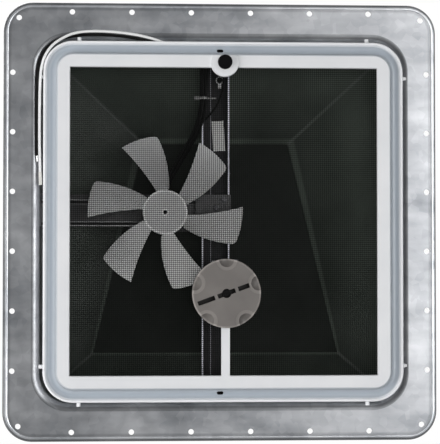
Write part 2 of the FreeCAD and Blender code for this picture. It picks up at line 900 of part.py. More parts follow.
motor_screws = [rivet(foot, Z_AXIS, arm_steel + can_wall) for foot in motor_screw_places]
save(Part.makeCompound(motor_screws), "motor_screws")

# Fan: cup-shaped hub with a raised rim and a shaft boss, and twisted blades cut to their plan outline

hub = rod(hub_radius, on_fan(hub_front), on_fan(hub_back))
hub = hub.makeFillet(hub_rim_round, edges_at(hub, hub_front))
hub_cuts = [
    rod(hub_radius - hub_rim_width, on_fan(hub_front - past), on_fan(hub_face)),
    rod(hub_radius - hub_wall, on_fan(hub_floor), on_fan(hub_back + past)),
]
hub_boss_rod = rod(hub_boss, on_fan(hub_face), on_fan(hub_back))
hub_ring = rod(hub_ring_radius, on_fan(hub_face - hub_ring_height), on_fan(hub_face))
shaft_hole = rod(shaft_radius + running_fit, on_fan(hub_floor), on_fan(hub_back + past))
front_hole = box(fan_x - hub_hole / 2, fan_x + hub_hole / 2, fan_y - hub_hole / 2, fan_y + hub_hole / 2,
                 hub_front - past, hub_floor + past)


def polar(radius, degrees):
    angle = math.radians(degrees)
    return (radius * math.cos(angle), radius * math.sin(angle))


def bowed(start, stop, bow):
    """Point beside the middle of a line in the blade's plan."""
    return ((start[0] + stop[0]) / 2, (start[1] + stop[1]) / 2 + bow)


blade_root = hub_radius - hub_wall / 2
root_low = polar(blade_root, root_low_angle)
root_high = polar(blade_root, root_high_angle)
tip_high = polar(blade_reach, tip_high_angle)
tip_low = polar(blade_reach, tip_low_angle)
blade_plan = outline_face([
    root_high,
    tip_high + bowed(root_high, tip_high, high_bow),
    tip_low + polar(blade_reach, (tip_high_angle + tip_low_angle) / 2),
    root_low + bowed(root_low, tip_low, low_bow),
], lambda x, y: V(x, y, blade_middle - blade_depth))
blade_prism = blade_plan.extrude(V(0, 0, 2 * blade_depth))
round_edge = [e for e in upright_edges(blade_prism) if abs(e.CenterOfMass.x - tip_low[0]) < tiny
              and abs(e.CenterOfMass.y - tip_low[1]) < tiny]
blade_prism = blade_prism.makeFillet(blade_corner, round_edge)


def blade_section(radius, pitch, centre_y):
    """Slanted thin rectangle across the blade at one radius."""
    lean = math.radians(pitch)
    along = V(0, math.cos(lean), math.sin(lean)) * (blade_half_chord / math.cos(lean))
    across = V(0, -math.sin(lean), math.cos(lean)) * (blade_thickness / 2)
    middle = V(radius, centre_y, blade_middle)
    corners = [middle - along - across, middle + along - across,
               middle + along + across, middle - along + across]
    return Part.makePolygon(corners + [corners[0]])


blade_sheet = Part.makeLoft([
    blade_section(blade_root - blade_overrun, root_pitch, root_shift),
    blade_section(blade_reach + blade_overrun, tip_pitch, (tip_low[1] + tip_high[1]) / 2),
], True, True)
blade = blade_sheet.common(blade_prism)
blades = []
for k in range(blade_count):
    turned = blade.copy()
    turned.rotate(ORIGIN, Z_AXIS, blade_phase + 360.0 / blade_count * k)
    turned.translate(on_fan(0))
    blades.append(turned)
fan_impeller = hub.cut(hub_cuts).fuse([hub_boss_rod, hub_ring] + blades).cut([shaft_hole, front_hole])
save(fan_impeller, "fan_impeller")
band_high = hub_back - band_back
band_low = band_high - band_width
save(tube(hub_boss + band_thickness, hub_boss + running_fit, on_fan(band_low), on_fan(band_high)),
     "fan_retainer")

# Crank: knob, shaft and worm, held by a bush, a bridge and a clip

knob_back = knob_front + knob_depth
grip_floor = knob_front + grip_depth
knob_seat = grip_floor + knob_wall
knob = rod(knob_radius, on_crank(knob_front), on_crank(knob_back))
knob = knob.makeFillet(knob_edge, edges_at(knob, knob_front))
knob_cuts = [
    tube(knob_radius - knob_wall, knob_boss, on_crank(knob_seat), on_crank(knob_back + past)),
    rod(knob_hole, on_crank(knob_front - past), on_crank(grip_floor)),
    rod(crank_radius + running_fit, on_crank(knob_seat), on_crank(knob_back + past)),
    rod(rivet_radius + rivet_fit, on_crank(knob_front), on_crank(knob_seat + past)),
]
for k in range(dip_count):
    dip_x, dip_y = polar(dip_centre, 360.0 / dip_count * k - 90)
    on_dip = upright(crank_x + dip_x, crank_y + dip_y)
    knob_cuts.append(rod(dip_radius, on_dip(knob_front - past), on_dip(knob_front + dip_step)))
    knob_cuts.append(Part.makeSphere(bowl_radius, on_dip(knob_front + dip_step + bowl_depth - bowl_radius)))
bridge_near = grip_bridge_place - grip_bridge / 2
bridge_far = grip_bridge_place + grip_bridge / 2
for start, stop in ((-grip_far, -bridge_far), (-bridge_near, bridge_near), (bridge_far, grip_near)):
    slot = box(start, stop, -grip_width / 2, grip_width / 2, knob_front - past, grip_floor)
    slot.rotate(ORIGIN, Z_AXIS, grip_angle)
    slot.translate(on_crank(0))
    knob_cuts.append(slot)
save(knob.cut(knob_cuts), "crank_knob")

bridge_top = bridge_height + bracket_steel
clip_low = bridge_top + slide_gap
clip_high = clip_low + clip_thickness
groove_radius = crank_radius - clip_groove
shaft_cuts = [
    rod(rivet_radius + rivet_fit, on_crank(knob_seat - past), on_crank(knob_seat + knob_screw_depth + past)),
    tube(crank_radius + past, groove_radius, on_crank(clip_low), on_crank(clip_high)),
]
crank_shaft = rod(crank_radius, on_crank(knob_seat), on_crank(clip_high + shaft_end))
save(crank_shaft.cut(shaft_cuts), "crank_shaft")
screw_top = grip_floor - screw_head_height
screw_head = rod(knob_hole - screw_head_room, on_crank(screw_top), on_crank(grip_floor))
screw_slot = box(crank_x - knob_hole, crank_x + knob_hole, crank_y - screw_slot_width / 2,
                 crank_y + screw_slot_width / 2, screw_top - past, screw_top + screw_slot_depth)
screw_shank = rod(rivet_radius, on_crank(grip_floor), on_crank(knob_seat + knob_screw_depth))
save(screw_head.cut(screw_slot).fuse(screw_shank), "knob_screw")
clip_ring = tube(clip_radius, groove_radius + running_fit, on_crank(clip_low), on_crank(clip_high))
clip_gap = box(crank_x - clip_mouth / 2, crank_x + clip_mouth / 2, crank_y, crank_y + clip_radius + past,
               clip_low - past, clip_high + past)
save(clip_ring.cut(clip_gap), "shaft_clip")

# The thread's crest faces the sector at the pivot's height, where the sector has a gap
worm_core_radius = worm_radius - dedendum * gear_module
thread_root = worm_core_radius - thread_bury
thread_crest = worm_radius + gear_module
thread_corners = [
    V(thread_root, 0, -thread_base / 2),
    V(thread_crest, 0, -thread_tip / 2),
    V(thread_crest, 0, thread_tip / 2),
    V(thread_root, 0, thread_base / 2),
]
sweep = Part.BRepOffsetAPI.MakePipeShell(Part.makeHelix(worm_lead, worm_length, worm_radius))
sweep.setFrenetMode(True)
sweep.add(Part.makePolygon(thread_corners + [thread_corners[0]]))
sweep.build()
sweep.makeSolid()
worm_thread = sweep.shape()
worm_thread.translate(on_crank(worm_bottom))
worm_core = rod(worm_core_radius, on_crank(worm_low), on_crank(worm_high))
worm_bore = rod(crank_radius + running_fit, on_crank(worm_low - past), on_crank(worm_high + past))
save(worm_core.fuse(worm_thread).cut(worm_bore), "crank_worm")

bracket_floor = channel_back + bracket_steel
bush_low = channel_back - slide_gap
bush_high = bracket_floor + bracket_steel
bush_body = rod(crank_bush_radius, on_crank(bush_low), on_crank(bracket_floor))
bush_flange = rod(crank_bush_flange, on_crank(bracket_floor), on_crank(bush_high))
bush_bore = rod(crank_radius + running_fit, on_crank(bush_low - past), on_crank(bush_high + past))
save(bush_body.fuse(bush_flange).cut(bush_bore), "crank_bush")

# Gear bracket: floor on the channel, ears for the lift pivot, and a bridge over the worm


def on_pivot(x):
    return V(x, pivot_y, pivot_z)


hub_left = gear_left - hub_side
hub_right = gear_right + hub_side
pin_left = hub_left - ear_gap - bracket_steel
pin_right = hub_right + ear_gap + bracket_steel
bracket_left = channel_left + bracket_inset
bracket_pieces = [
    box(bracket_left, bracket_right, bracket_back - bracket_steel, bracket_back, channel_back, bridge_top),
    box(bracket_left, bracket_right, crank_y - bridge_ahead, bracket_back, bridge_height, bridge_top),
]
for ear_left in (pin_left, pin_right - bracket_steel):
    ear_right = ear_left + bracket_steel
    bracket_pieces.append(box(ear_left, ear_right, pivot_y - ear_width / 2, pivot_y + ear_width / 2,
                              channel_back, pivot_z))
    bracket_pieces.append(rod(ear_width / 2, on_pivot(ear_left), on_pivot(ear_right)))
floor_plate = box(bracket_left, bracket_right, bracket_front, bracket_back, channel_back, bracket_floor)
bracket_cuts = [
    rod(crank_bush_radius + rivet_fit, on_crank(channel_back - past), on_crank(bracket_floor + past)),
    rod(crank_radius + running_fit, on_crank(bridge_height - past), on_crank(bridge_top + past)),
    rod(pivot_radius + running_fit, on_pivot(pin_left - past), on_pivot(pin_right + past)),
]
for foot in bracket_rivet_places:
    bracket_cuts.append(rivet_hole(foot, Z_AXIS, channel_steel + bracket_steel))
save(floor_plate.fuse(bracket_pieces).cut(bracket_cuts).removeSplitter(), "gear_bracket")
bracket_rivets = [rivet(foot, Z_AXIS, channel_steel + bracket_steel) for foot in bracket_rivet_places]
save(Part.makeCompound(bracket_rivets), "bracket_rivets")
pin_head = rod(pivot_head, on_pivot(pin_left - pivot_head_height), on_pivot(pin_left))
save(rod(pivot_radius, on_pivot(pin_left), on_pivot(pin_right + pivot_end)).fuse(pin_head), "pivot_pin")
save(tube(pivot_clip_radius, pivot_radius + running_fit, on_pivot(pin_right),
          on_pivot(pin_right + pivot_clip_thickness)), "pivot_clip")

# Lift arm: pressed lever with a toothed sector round its pivot and a roller at its end

tooth_angle = 360.0 / gear_teeth


def sector_point(radius, degrees):
    """Angle grows from +Y towards +Z."""
    y, z = polar(radius, degrees)
    return (pivot_y + y, pivot_z + z)


half_root = math.degrees(tooth_root_half * gear_module / gear_root)
half_tip = math.degrees(tooth_tip_half * gear_module / gear_tip)
sector_steps = []
for k in range(sector_teeth):
    tooth = (k + 0.5 - sector_lead_teeth) * tooth_angle
    sector_steps.append(sector_point(gear_root, tooth - half_root))
    sector_steps.append(sector_point(gear_tip, tooth - half_tip))
    sector_steps.append(sector_point(gear_tip, tooth + half_tip))
    sector_steps.append(sector_point(gear_root, tooth + half_root))
sector_steps.append((pivot_y, pivot_z))
sector = outline_face(sector_steps, lambda y, z: V(gear_left, y, z)).extrude(V(gear_thickness, 0, 0))


def along_arm(reach, rise):
    """Point on the lever's plane: reach from the pivot to the roller, rise square to it."""
    return V(gear_left, pivot_y - reach * math.cos(lift_tilt) + rise * math.sin(lift_tilt),
             pivot_z + reach * math.sin(lift_tilt) + rise * math.cos(lift_tilt))


def on_roller(x):
    return V(x, roller_y, roller_z)


end_half = lift_width / 2
lever_face = outline_face([
    (0, -sector_hub),
    (arm_reach, -end_half),
    (arm_reach, end_half, arm_reach + end_half, 0),
    (0, sector_hub),
], along_arm)
lever = lever_face.extrude(V(gear_thickness, 0, 0))
pivot_hub = rod(sector_hub, on_pivot(hub_left), on_pivot(hub_right))
lift_cuts = [
    rod(pivot_radius + running_fit, on_pivot(hub_left - past), on_pivot(hub_right + past)),
    rod(roller_pin_radius + running_fit, on_roller(gear_left - past), on_roller(gear_right + past)),
]
save(sector.fuse([pivot_hub, lever]).cut(lift_cuts).removeSplitter(), "lift_arm")
track_left = gear_right + track_gap
track_right = track_left + track_steel
roller_low = track_left - (roller_length - track_steel) / 2
roller_high = roller_low + roller_length
cap_low = roller_high + slide_gap
save(tube(roller_radius, roller_pin_radius + running_fit, on_roller(roller_low), on_roller(roller_high)),
     "lift_roller")
roller_heads = [
    rod(roller_head, on_roller(gear_left - roller_head_height), on_roller(gear_left)),
    rod(roller_cap, on_roller(cap_low), on_roller(cap_low + roller_cap_height)),
]
save(rod(roller_pin_radius, on_roller(gear_left), on_roller(cap_low)).fuse(roller_heads), "roller_pin")

# Lid: skirt and rim round a hipped dome with a raised trapezoid panel, all one wall thick

rim_top = lid_rim + lid_wall
dome_half = collar_half + dome_room
panel_under = dome_top - lid_wall


def ring_points(half, z):
    return [V(-half, -half, z), V(half, -half, z), V(half, half, z), V(-half, half, z)]


def panel_points(inset, z):
    far = panel_far_half - inset
    near = panel_near_half - inset
    return [V(panel_shift - far, panel_far_y + inset, z), V(panel_shift + far, panel_far_y + inset, z),
            V(panel_shift + near, panel_near_y - inset, z), V(panel_shift - near, panel_near_y - inset, z)]


def hip(low, high):
    """Block between two outlines of four points."""
    return Part.makeLoft([Part.makePolygon(low + [low[0]]), Part.makePolygon(high + [high[0]])], True, True)


def on_track(reach, rise):
    """Point in the track's plane: reach from the hinge along the roller's line, rise square to it."""
    return V(track_left, hinge_y - reach * math.cos(track_tilt) + rise * math.sin(track_tilt),
             hinge_z + reach * math.sin(track_tilt) + rise * math.cos(track_tilt))


dome = hip(ring_points(dome_half + lid_wall, lid_rim), panel_points(0, dome_top))
dome_hollow = hip(ring_points(dome_half, lid_rim - dome_lap), panel_points(slope_inset, panel_under))
panel_boss = hip(panel_points(panel_margin, dome_top - dome_lap),
                 panel_points(panel_margin + panel_step, dome_top + panel_step))
skirt = rounded_plate(lid_half, lid_half, lid_corner, lid_skirt_bottom, rim_top)
skirt = skirt.makeFillet(lid_rim_round, edges_at(skirt, rim_top))
skirt_half_inner = lid_half - lid_wall
skirt_hollow = rounded_plate(skirt_half_inner, skirt_half_inner, lid_corner - lid_wall,
                             lid_skirt_bottom - past, lid_rim)
track_near = 2 * arm_reach * math.cos(math.radians(track_rise + lid_opening))
track_far = 2 * arm_reach * math.cos(math.radians(track_rise))
foot_near = on_track(track_near - track_margin, 0).y
foot_far = panel_far_y + 2 * lid_wall
track_rivet_places = []
for rivet_y in (foot_far + track_rivet_end, foot_near - track_rivet_end):
    track_rivet_places.append(V(track_left - track_rivet_inset, rivet_y, panel_under - track_steel))
leaf_rivet_places = []
for hinge_x in (-hinge_place, hinge_place):
    for rivet_x in (hinge_x - leaf_rivet_place, hinge_x + leaf_rivet_place):
        leaf_rivet_places.append(V(rivet_x, skirt_half_inner, hinge_z))
lid_cuts = [skirt_hollow, dome_hollow]
for foot in track_rivet_places:
    lid_cuts.append(rivet_hole(foot, Z_AXIS, track_steel + lid_wall + panel_step))
for foot in leaf_rivet_places:
    lid_cuts.append(rivet_hole(foot, Y_AXIS, lid_wall))
save(skirt.fuse([dome, panel_boss]).cut(lid_cuts).removeSplitter(), "lid_shell")

seal_low = collar_height + seal_gap
seal_half = collar_half + (collar_lip + seal_width) / 2
seal_inner = dome_half + seal_fit
seal_outer = rounded_plate(seal_half, seal_half, collar_corner + seal_width / 2, seal_low, lid_rim)
seal_hole = rounded_plate(seal_inner, seal_inner, collar_corner, seal_low - past, lid_rim + past)
save(seal_outer.cut(seal_hole), "lid_seal")

slot_room = roller_radius + slide_gap
web_low = -slot_room - track_margin / 2
web_points = [
    on_track(track_near - track_margin, web_low),
    on_track(track_far + track_margin, web_low),
    on_track(track_far + track_margin, slot_room + track_slot_wall),
    V(track_left, foot_far, panel_under),
    V(track_left, foot_near, panel_under),
]
track_web = Part.Face(Part.makePolygon(web_points + [web_points[0]])).extrude(V(track_steel, 0, 0))
track_plate = box(track_left - track_foot, track_right, foot_far, foot_near, panel_under - track_steel,
                  panel_under)
slot_corners = [on_track(track_near, -slot_room), on_track(track_far, -slot_room),
                on_track(track_far, slot_room), on_track(track_near, slot_room)]
slot_face = Part.Face(Part.makePolygon(slot_corners + [slot_corners[0]]))
slot_bar = slot_face.extrude(V(track_steel + 2 * past, 0, 0))
slot_bar.translate(V(-past, 0, 0))
track_cuts = [slot_bar]
for slot_centre in (on_track(track_near, 0), on_track(track_far, 0)):
    track_cuts.append(rod(slot_room, slot_centre - X_AXIS * past,
                          slot_centre + X_AXIS * (track_steel + past)))
for foot in track_rivet_places:
    track_cuts.append(rivet_hole(foot, Z_AXIS, track_steel))
save(track_web.fuse(track_plate).cut(track_cuts).removeSplitter(), "lid_track")
track_rivets = [rivet(foot, Z_AXIS, track_steel + lid_wall + panel_step) for foot in track_rivet_places]
save(Part.makeCompound(track_rivets), "track_rivets")

# Hinges: brackets on the collar, leaves on the lid's skirt, and their pins

hinge_brackets = []
hinge_leaves = []
hinge_pins = []
wall_face = collar_half + sheet
shelf_low = hinge_z - hinge_shelf_drop
half_hinge = hinge_steel / 2


def on_hinge(x):
    return V(x, hinge_y, hinge_z)


for hinge_x in (-hinge_place, hinge_place):
    left = hinge_x - hinge_width / 2
    right = hinge_x + hinge_width / 2
    pin_bore = rod(hinge_pin_radius + running_fit, on_hinge(left - past), on_hinge(right + past))
    bracket = box(left, right, wall_face, wall_face + hinge_steel, hinge_z - hinge_plate_drop, shelf_low)
    pieces = [box(left, right, wall_face, hinge_y + half_hinge, shelf_low, shelf_low + hinge_steel)]
    for start in (left, right - knuckle_share):
        stop = start + knuckle_share
        pieces.append(box(start, stop, hinge_y - half_hinge, hinge_y + half_hinge, shelf_low, hinge_z))
        pieces.append(rod(knuckle_radius, on_hinge(start), on_hinge(stop)))
    holes = [rivet_hole(foot, Y_AXIS, sheet + hinge_steel) for foot in hinge_rivet_places]
    hinge_brackets.append(bracket.fuse(pieces).cut(holes + [pin_bore]).removeSplitter())
    leaf = box(hinge_x - leaf_width / 2, hinge_x + leaf_width / 2, lid_half, lid_half + hinge_steel,
               lid_skirt_bottom + leaf_inset, lid_rim + leaf_inset)
    lug_left = left + knuckle_share + side_gap
    lug_right = right - knuckle_share - side_gap
    lug = box(lug_left, lug_right, lid_half, hinge_y, hinge_z - lug_half, hinge_z + lug_half)
    eye = rod(knuckle_radius, on_hinge(lug_left), on_hinge(lug_right))
    holes = [rivet_hole(foot, Y_AXIS, lid_wall + hinge_steel) for foot in leaf_rivet_places]
    hinge_leaves.append(leaf.fuse([lug, eye]).cut(holes + [pin_bore]).removeSplitter())
    head_end = left - slide_gap
    head = rod(hinge_pin_head, on_hinge(head_end - hinge_pin_head_height), on_hinge(head_end))
    hinge_pins.append(rod(hinge_pin_radius, on_hinge(head_end), on_hinge(right + hinge_pin_proud)).fuse(head))
hinge_rivets = [rivet(foot, Y_AXIS, sheet + hinge_steel) for foot in hinge_rivet_places]
leaf_rivets = [rivet(foot, Y_AXIS, lid_wall + hinge_steel) for foot in leaf_rivet_places]
save(Part.makeCompound(hinge_brackets), "hinge_brackets")
save(Part.makeCompound(hinge_leaves), "hinge_leaves")
save(Part.makeCompound(hinge_pins), "hinge_pins")
save(Part.makeCompound(hinge_rivets), "hinge_rivets")
save(Part.makeCompound(leaf_rivets), "leaf_rivets")

# Wiring: clip on the collar, motor cable, switch lead, tie, earth terminal and blank tag

clip_front = -collar_half + clip_depth
clip_bottom = skirt_back + clip_room
lead_clip = box(clip_left, clip_right, -collar_half, clip_front, clip_bottom, clip_bottom + clip_height)
clip_edges = []
for edge in lead_clip.Edges:
    if edge.BoundBox.XLength > tiny and edge.BoundBox.YMin > clip_front - tiny:
        clip_edges.append(edge)
save(lead_clip.makeFillet(clip_round, clip_edges), "lead_clip")

tie_before = V(-17.2, -147, channel_front - 7.8)
tie_after = V(-18.0, -120, channel_front - 6.0)
tie_spot = (tie_before + tie_after) * 0.5
motor_cable_route = [
    V(-17.6, clip_front, clip_bottom + 6.0),
    V(-17.6, -163.5, clip_bottom + 6.0),
    tie_before,
    tie_after,
    V(-25.1, -98, channel_front - 2.5),
    V(-36.2, -78.5, channel_front + 5.0),
    V(-46.8, -60.6, channel_front + 12.5),
    V(-55.0, -46, channel_front + 17.2),
    V(fan_x, fan_y - can_radius - cable_end_gap, channel_front + 18.0),
]
save(cord(motor_cable_route, cable_radius, "motor_cable"), "motor_cable")
switch_lead_route = [
    V(switch_x, switch_y + switch_radius + cable_end_gap, body_top - switch_lead_drop),
    V(3.4, -150, 14.2),
    V(2.2, -139, 21),
    V(-3.6, -124.5, 24.5),
    V(-11.0, -115.5, 26.4),
    V(-15.6, -110.4, 28.2),
]
save(cord(switch_lead_route, switch_lead_radius, "switch_lead"), "switch_lead")

tie_inner = cable_radius + slide_gap
tie_outer = tie_inner + tie_thickness
tie_half = Y_AXIS * (tie_width / 2)
tie_band = tube(tie_outer, tie_inner, tie_spot - tie_half, tie_spot + tie_half)
tie_head = box(-tie_outer - tie_head_length, -tie_inner - tie_bury, -tie_head_width / 2, tie_head_width / 2,
               -tie_head_height / 2, tie_head_height / 2)
tie_tail = box(tie_inner + tie_bury, tie_outer + tie_tail_length, -tie_tail_width / 2, tie_tail_width / 2,
               -tie_thickness / 2, tie_thickness / 2)
tie_ends = [tie_head, tie_tail]
for tie_end in tie_ends:
    tie_end.translate(tie_spot)
save(tie_band.fuse(tie_ends), "cable_tie")

terminal_low = ground_seat - Z_AXIS * terminal_thickness
terminal_ring = tube(terminal_radius, ground_radius + rivet_fit, terminal_low, ground_seat)
tongue_start = terminal_y + (terminal_radius + ground_radius) / 2
tongue = box(terminal_x - tongue_width / 2, terminal_x + tongue_width / 2, tongue_start,
             terminal_y + terminal_radius + tongue_length, terminal_low.z, ground_seat.z)
save(terminal_ring.fuse(tongue), "ring_terminal")
screw_head = rod(ground_head, terminal_low - Z_AXIS * ground_head_height, terminal_low)
screw_shank = rod(ground_radius, terminal_low, ground_seat + Z_AXIS * (channel_steel + ground_end))
save(screw_head.fuse(screw_shank), "ground_screw")
tag = box(-tag_width / 2, tag_width / 2, -tag_length / 2, tag_length / 2, -tag_thickness, 0)
tag.rotate(ORIGIN, Z_AXIS, -tag_tilt)
tag.translate(V(tag_x, tag_y, channel_web))
save(tag, "blank_tag")

# Free supply leads, from the clip out over the collar's bend and round the corner beside the frame

white_route = [
    V(clip_left, -189.4, 15.2),
    V(-42, -189.4, 15.2),
    V(-50.5, -189.5, 9.8),
    V(-60, -190.2, 3.0),
    V(-72, -193.8, -1.5),
    V(-88, -197.6, -2.3),
    V(-107, -200.2, -2.4),
    V(-126, -201.3, -2.7),
    V(-144, -200.9, -3.7),
    V(-157, -198.4, -4.9),
    V(-168, -193.2, -5.3),
    V(-177.8, -186.4, -5.0),
    V(-184.9, -177.4, -4.2),
    V(-189.3, -166.0, -3.0),
    V(-191.0, -152.0, -2.3),
    V(-191.5, -132.0, -2.2),
    V(-191.7, -108.0, -2.2),
    V(-191.6, -86.0, -2.2),
    V(-191.3, -68.0, -2.2),
    V(-190.8, -52.0, -2.2),
]
black_route = [
    V(clip_left, -184.8, 15.8),
    V(-43, -184.8, 15.8),
    V(-53, -188.9, 14.6),
    V(-62, -189.7, 9.0),
    V(-72, -190.6, 3.4),
    V(-86, -193.4, -0.9),
    V(-106, -196.4, -1.7),
    V(-128, -197.8, -1.9),
    V(-147, -197.2, -1.8),
    V(-162, -195.0, -1.7),
    V(-176.5, -190.6, -1.5),
    V(-186.6, -181.4, -1.4),
    V(-192.2, -169.5, -1.0),
    V(-194.4, -155.0, -0.8),
    V(-194.9, -137.0, -0.8),
    V(-194.9, -116.0, -0.8),
    V(-194.8, -97.0, -0.8),
    V(-194.6, -81.0, -0.8),
    V(-194.3, -69.0, -0.8),
]
save(cord(white_route, lead_radius, "white_lead"), "white_lead")
save(cord(black_route, lead_radius, "black_lead"), "black_lead")


def lead_end(route, radius, length):
    """Stripped or sleeved end that carries on from a lead."""
    course = route[-1] - route[-2]
    course.normalize()
    return rod(radius, route[-1], route[-1] + course * length)


save(lead_end(white_route, white_end_radius, white_end_length), "white_lead_end")
save(lead_end(black_route, black_end_radius, black_end_length), "black_lead_end")
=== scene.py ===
"""Looks of the roof vent fan, seen from the room below: materials, screen, wiring, light and camera.

Metres, in the part's own frame: +Z up to the lid, +Y to its hinge. The picture's up is -Y.
"""
import json
import math

import bpy
from mathutils import Matrix, Vector


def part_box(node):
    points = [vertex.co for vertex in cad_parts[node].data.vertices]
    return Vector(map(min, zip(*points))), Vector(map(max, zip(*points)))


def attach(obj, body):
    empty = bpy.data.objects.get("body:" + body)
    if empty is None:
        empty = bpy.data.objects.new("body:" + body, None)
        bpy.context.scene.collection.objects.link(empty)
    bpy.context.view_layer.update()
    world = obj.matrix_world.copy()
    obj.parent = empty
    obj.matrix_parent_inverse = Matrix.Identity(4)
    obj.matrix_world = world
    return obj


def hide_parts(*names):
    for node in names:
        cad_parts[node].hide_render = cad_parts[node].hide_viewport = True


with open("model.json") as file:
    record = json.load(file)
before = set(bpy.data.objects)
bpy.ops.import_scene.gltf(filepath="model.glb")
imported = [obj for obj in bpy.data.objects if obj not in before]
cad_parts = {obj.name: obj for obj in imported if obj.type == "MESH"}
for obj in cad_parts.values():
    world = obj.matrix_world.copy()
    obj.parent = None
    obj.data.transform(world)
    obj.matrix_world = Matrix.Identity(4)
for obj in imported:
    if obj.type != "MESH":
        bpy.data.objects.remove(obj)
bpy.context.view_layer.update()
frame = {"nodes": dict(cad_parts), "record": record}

scene = bpy.context.scene
scene.view_settings.view_transform = "Standard"

# Picture: 440 by 444, from below and a little from the left
PICTURE_WIDTH = 0.4664
CAMERA_PLACE = (-0.080, 0.045, -1.6)
CAMERA_AIM = (-0.001, 0.0005, 0.0)
SENSOR_MM = 36.0

# Screen wires
WIRE_PITCH = 0.0021
WIRE_RADIUS = 0.00023
WIRE_SIDES = 4
HOLE_MARGIN = 0.0006
TURRET_WALL = 0.0025

# Wiring
LEAD_RADIUS = 0.0015
SWITCH_LEAD_RADIUS = 0.0012
STRAND_RADIUS = 0.0015
STRAND_RING = 0.0027
STRAND_COUNT = 5
STRAND_TWIST = 2.2
CORD_ROUNDNESS = 3
CORD_STEPS = 8
CORD_ORDER = 3

# Patterns of the finishes, as scales of noise (features to the metre), with the detail and relief that go with them.
# Most of a noise stays between NOISE_LOW and NOISE_HIGH.
NOISE_LOW = 0.3
NOISE_HIGH = 0.7
PLAIN_DETAIL = 3.0
RICH_DETAIL = 4.0
GRAIN_DETAIL = 2.0
FLOW_MARKS = 26
SATIN_MARKS = 140
FINE_GRAIN = 900
COARSE_GRAIN = 700
PAPER_GRAIN = 400
GRAIN_RELIEF = 0.06
GRAIN_DEPTH = 0.0002
ROLLING_LINES = 40
ROLLED_ALONG_X = (1.0, 14.0, 1.0)
ROLLED_ALONG_Y = (14.0, 1.0, 1.0)
ROLLING_RELIEF = 0.05
ROLLING_DEPTH = 0.0001
SHEET_MARKS = 30
SHEET_SHARE = 0.5
SHEET_WEAR = 90
USUAL_GLOSS = 0.5

# Zinc coat: clouds, streaks and crystals in its tone, and its fine grain
ZINC_CLOUDS = 11
ZINC_STREAKS = 16
STREAK_DETAIL = 5.0
STREAK_STRETCH = (1.0, 3.5, 1.0)
STREAK_SHARE = 0.40
CRYSTALS = 120
CRYSTAL_SHARE = 0.07
ZINC_RANGE = (0.32, 0.68)
ZINC_WEAR = 60
ZINC_GRAIN = 420
ZINC_DEPTH = 0.000017

# Flange: half-round bead beside its turned edge, brighter than the sheet on both sides of it as a painted highlight,
# with painted shade on the turned edge and on a strip inside the bead
FLANGE_EDGE = (0.230, 0.232, 0.031)
BEAD_INSET = 0.0043
BEAD_HALF = 0.0014
BEAD_RISE = 0.0008
BEAD_ROOT = 0.0005
BEAD_STEPS = 6
CORNER_STEPS = 12
BEAD_HIGHLIGHT_AND_SHADE = [(0, 0.55), (0.0026, 0.55), (0.0030, 1.6), (0.0056, 1.6), (0.0060, 0.72), (0.0078, 0.8),
               (0.0090, 1.0), (0.03, 1.0)]

# Collar's bend: painted shade dulls it where it starts, and painted light makes the wall inside it paler
BEND_EDGE = (0.1995, 0.1995, 0.039)
BEND_MARGIN = 0.002
BEND_SHADE_AND_LIGHT = [(0, 1.0), (0.0012, 1.0), (0.0018, 0.55), (0.0040, 0.55), (0.0056, 0.75), (0.0070, 2.2),
               (0.010, 2.6)]

# Screen frame: the cove between its lip and its ring is darker, as in the photo
# The darker cove is painted shade, and the paler lip a painted highlight.
FRAME_EDGE = (0.1905, 0.1905, 0.032, 0.003)
COVE_SHADE_COLOUR = (0.37, 0.415, 0.465)
COVE_SHADE_SHARES = [(0, 0.0), (0.0032, 0.0), (0.0048, 0.85), (0.0085, 1.0), (0.0130, 0.72), (0.0155, 0.50),
               (0.0161, 0.0), (0.03, 0.0)]
LIP_HIGHLIGHT = [(0, 1.16), (0.0032, 1.16), (0.0046, 1.0), (0.03, 1.0)]

# Lid: paler low on its slopes by painted light, darker on the raised panel by painted shade, with a painted
# highlight along the panel's edge, by the height above its foot
LID_MARKS = 18
LID_SATIN = 70
LID_RELIEF = 0.08
LID_FOOT = 0.058
LID_LIGHT_AND_SHADE = [(0, 3.2), (0.010, 2.8), (0.024, 1.8), (0.0311, 1.35), (0.0317, 2.7), (0.0328, 2.7), (0.0333, 0.55),
              (0.06, 0.55)]

# Lid's hips, as paler lines of painted highlight: for each, a point in plan and the line's normal, with X measured
# from the panel's axis
LID_AXIS = -0.0015
LID_HIPS = [((0.194, -0.194), (0.6795, 0.7340)), ((0.194, 0.194), (0.6570, -0.7540))]
HIP_HIGHLIGHT_SHARES = [(0, 0.55), (0.0010, 0.55), (0.0022, 0.0), (0.1, 0.0)]
SLOPE_SHARES = [(0, 0.0), (0.004, 0.0), (0.006, 1.0), (0.0325, 1.0), (0.0333, 0.0), (0.06, 0.0)]
HIP_HIGHLIGHT_COLOUR = (0.15, 0.16, 0.15)

# Channel: painted highlights at its front edges, by the height above them, and along its fold, by the distance from
# it
CHANNEL_FRONT = 0.030
EDGE_HIGHLIGHT = [(0, 45.0), (0.0004, 45.0), (0.0007, 1.0), (0.02, 1.0)]
CHANNEL_FOLD = -0.0093
FOLD_HIGHLIGHT = [(0, 20.0), (0.0003, 18.0), (0.0006, 1.0), (0.02, 1.0)]

# Motor arm: pale lines along the four folds of its hat section, left of its flat end
ARM_MIDDLE = -0.010
ARM_FLAT_END = [(0, 0.0), (0.0262, 0.0), (0.0272, 1.0), (0.3, 1.0)]
ARM_FOLDS = [(0, 0.0), (0.0090, 0.0), (0.0094, 0.8), (0.0100, 0.8), (0.0104, 0.0), (0.0129, 0.0), (0.0133, 1.0),
             (0.0139, 1.0), (0.0143, 0.0), (0.03, 0.0)]
FOLD_COLOUR = (0.42, 0.42, 0.42)
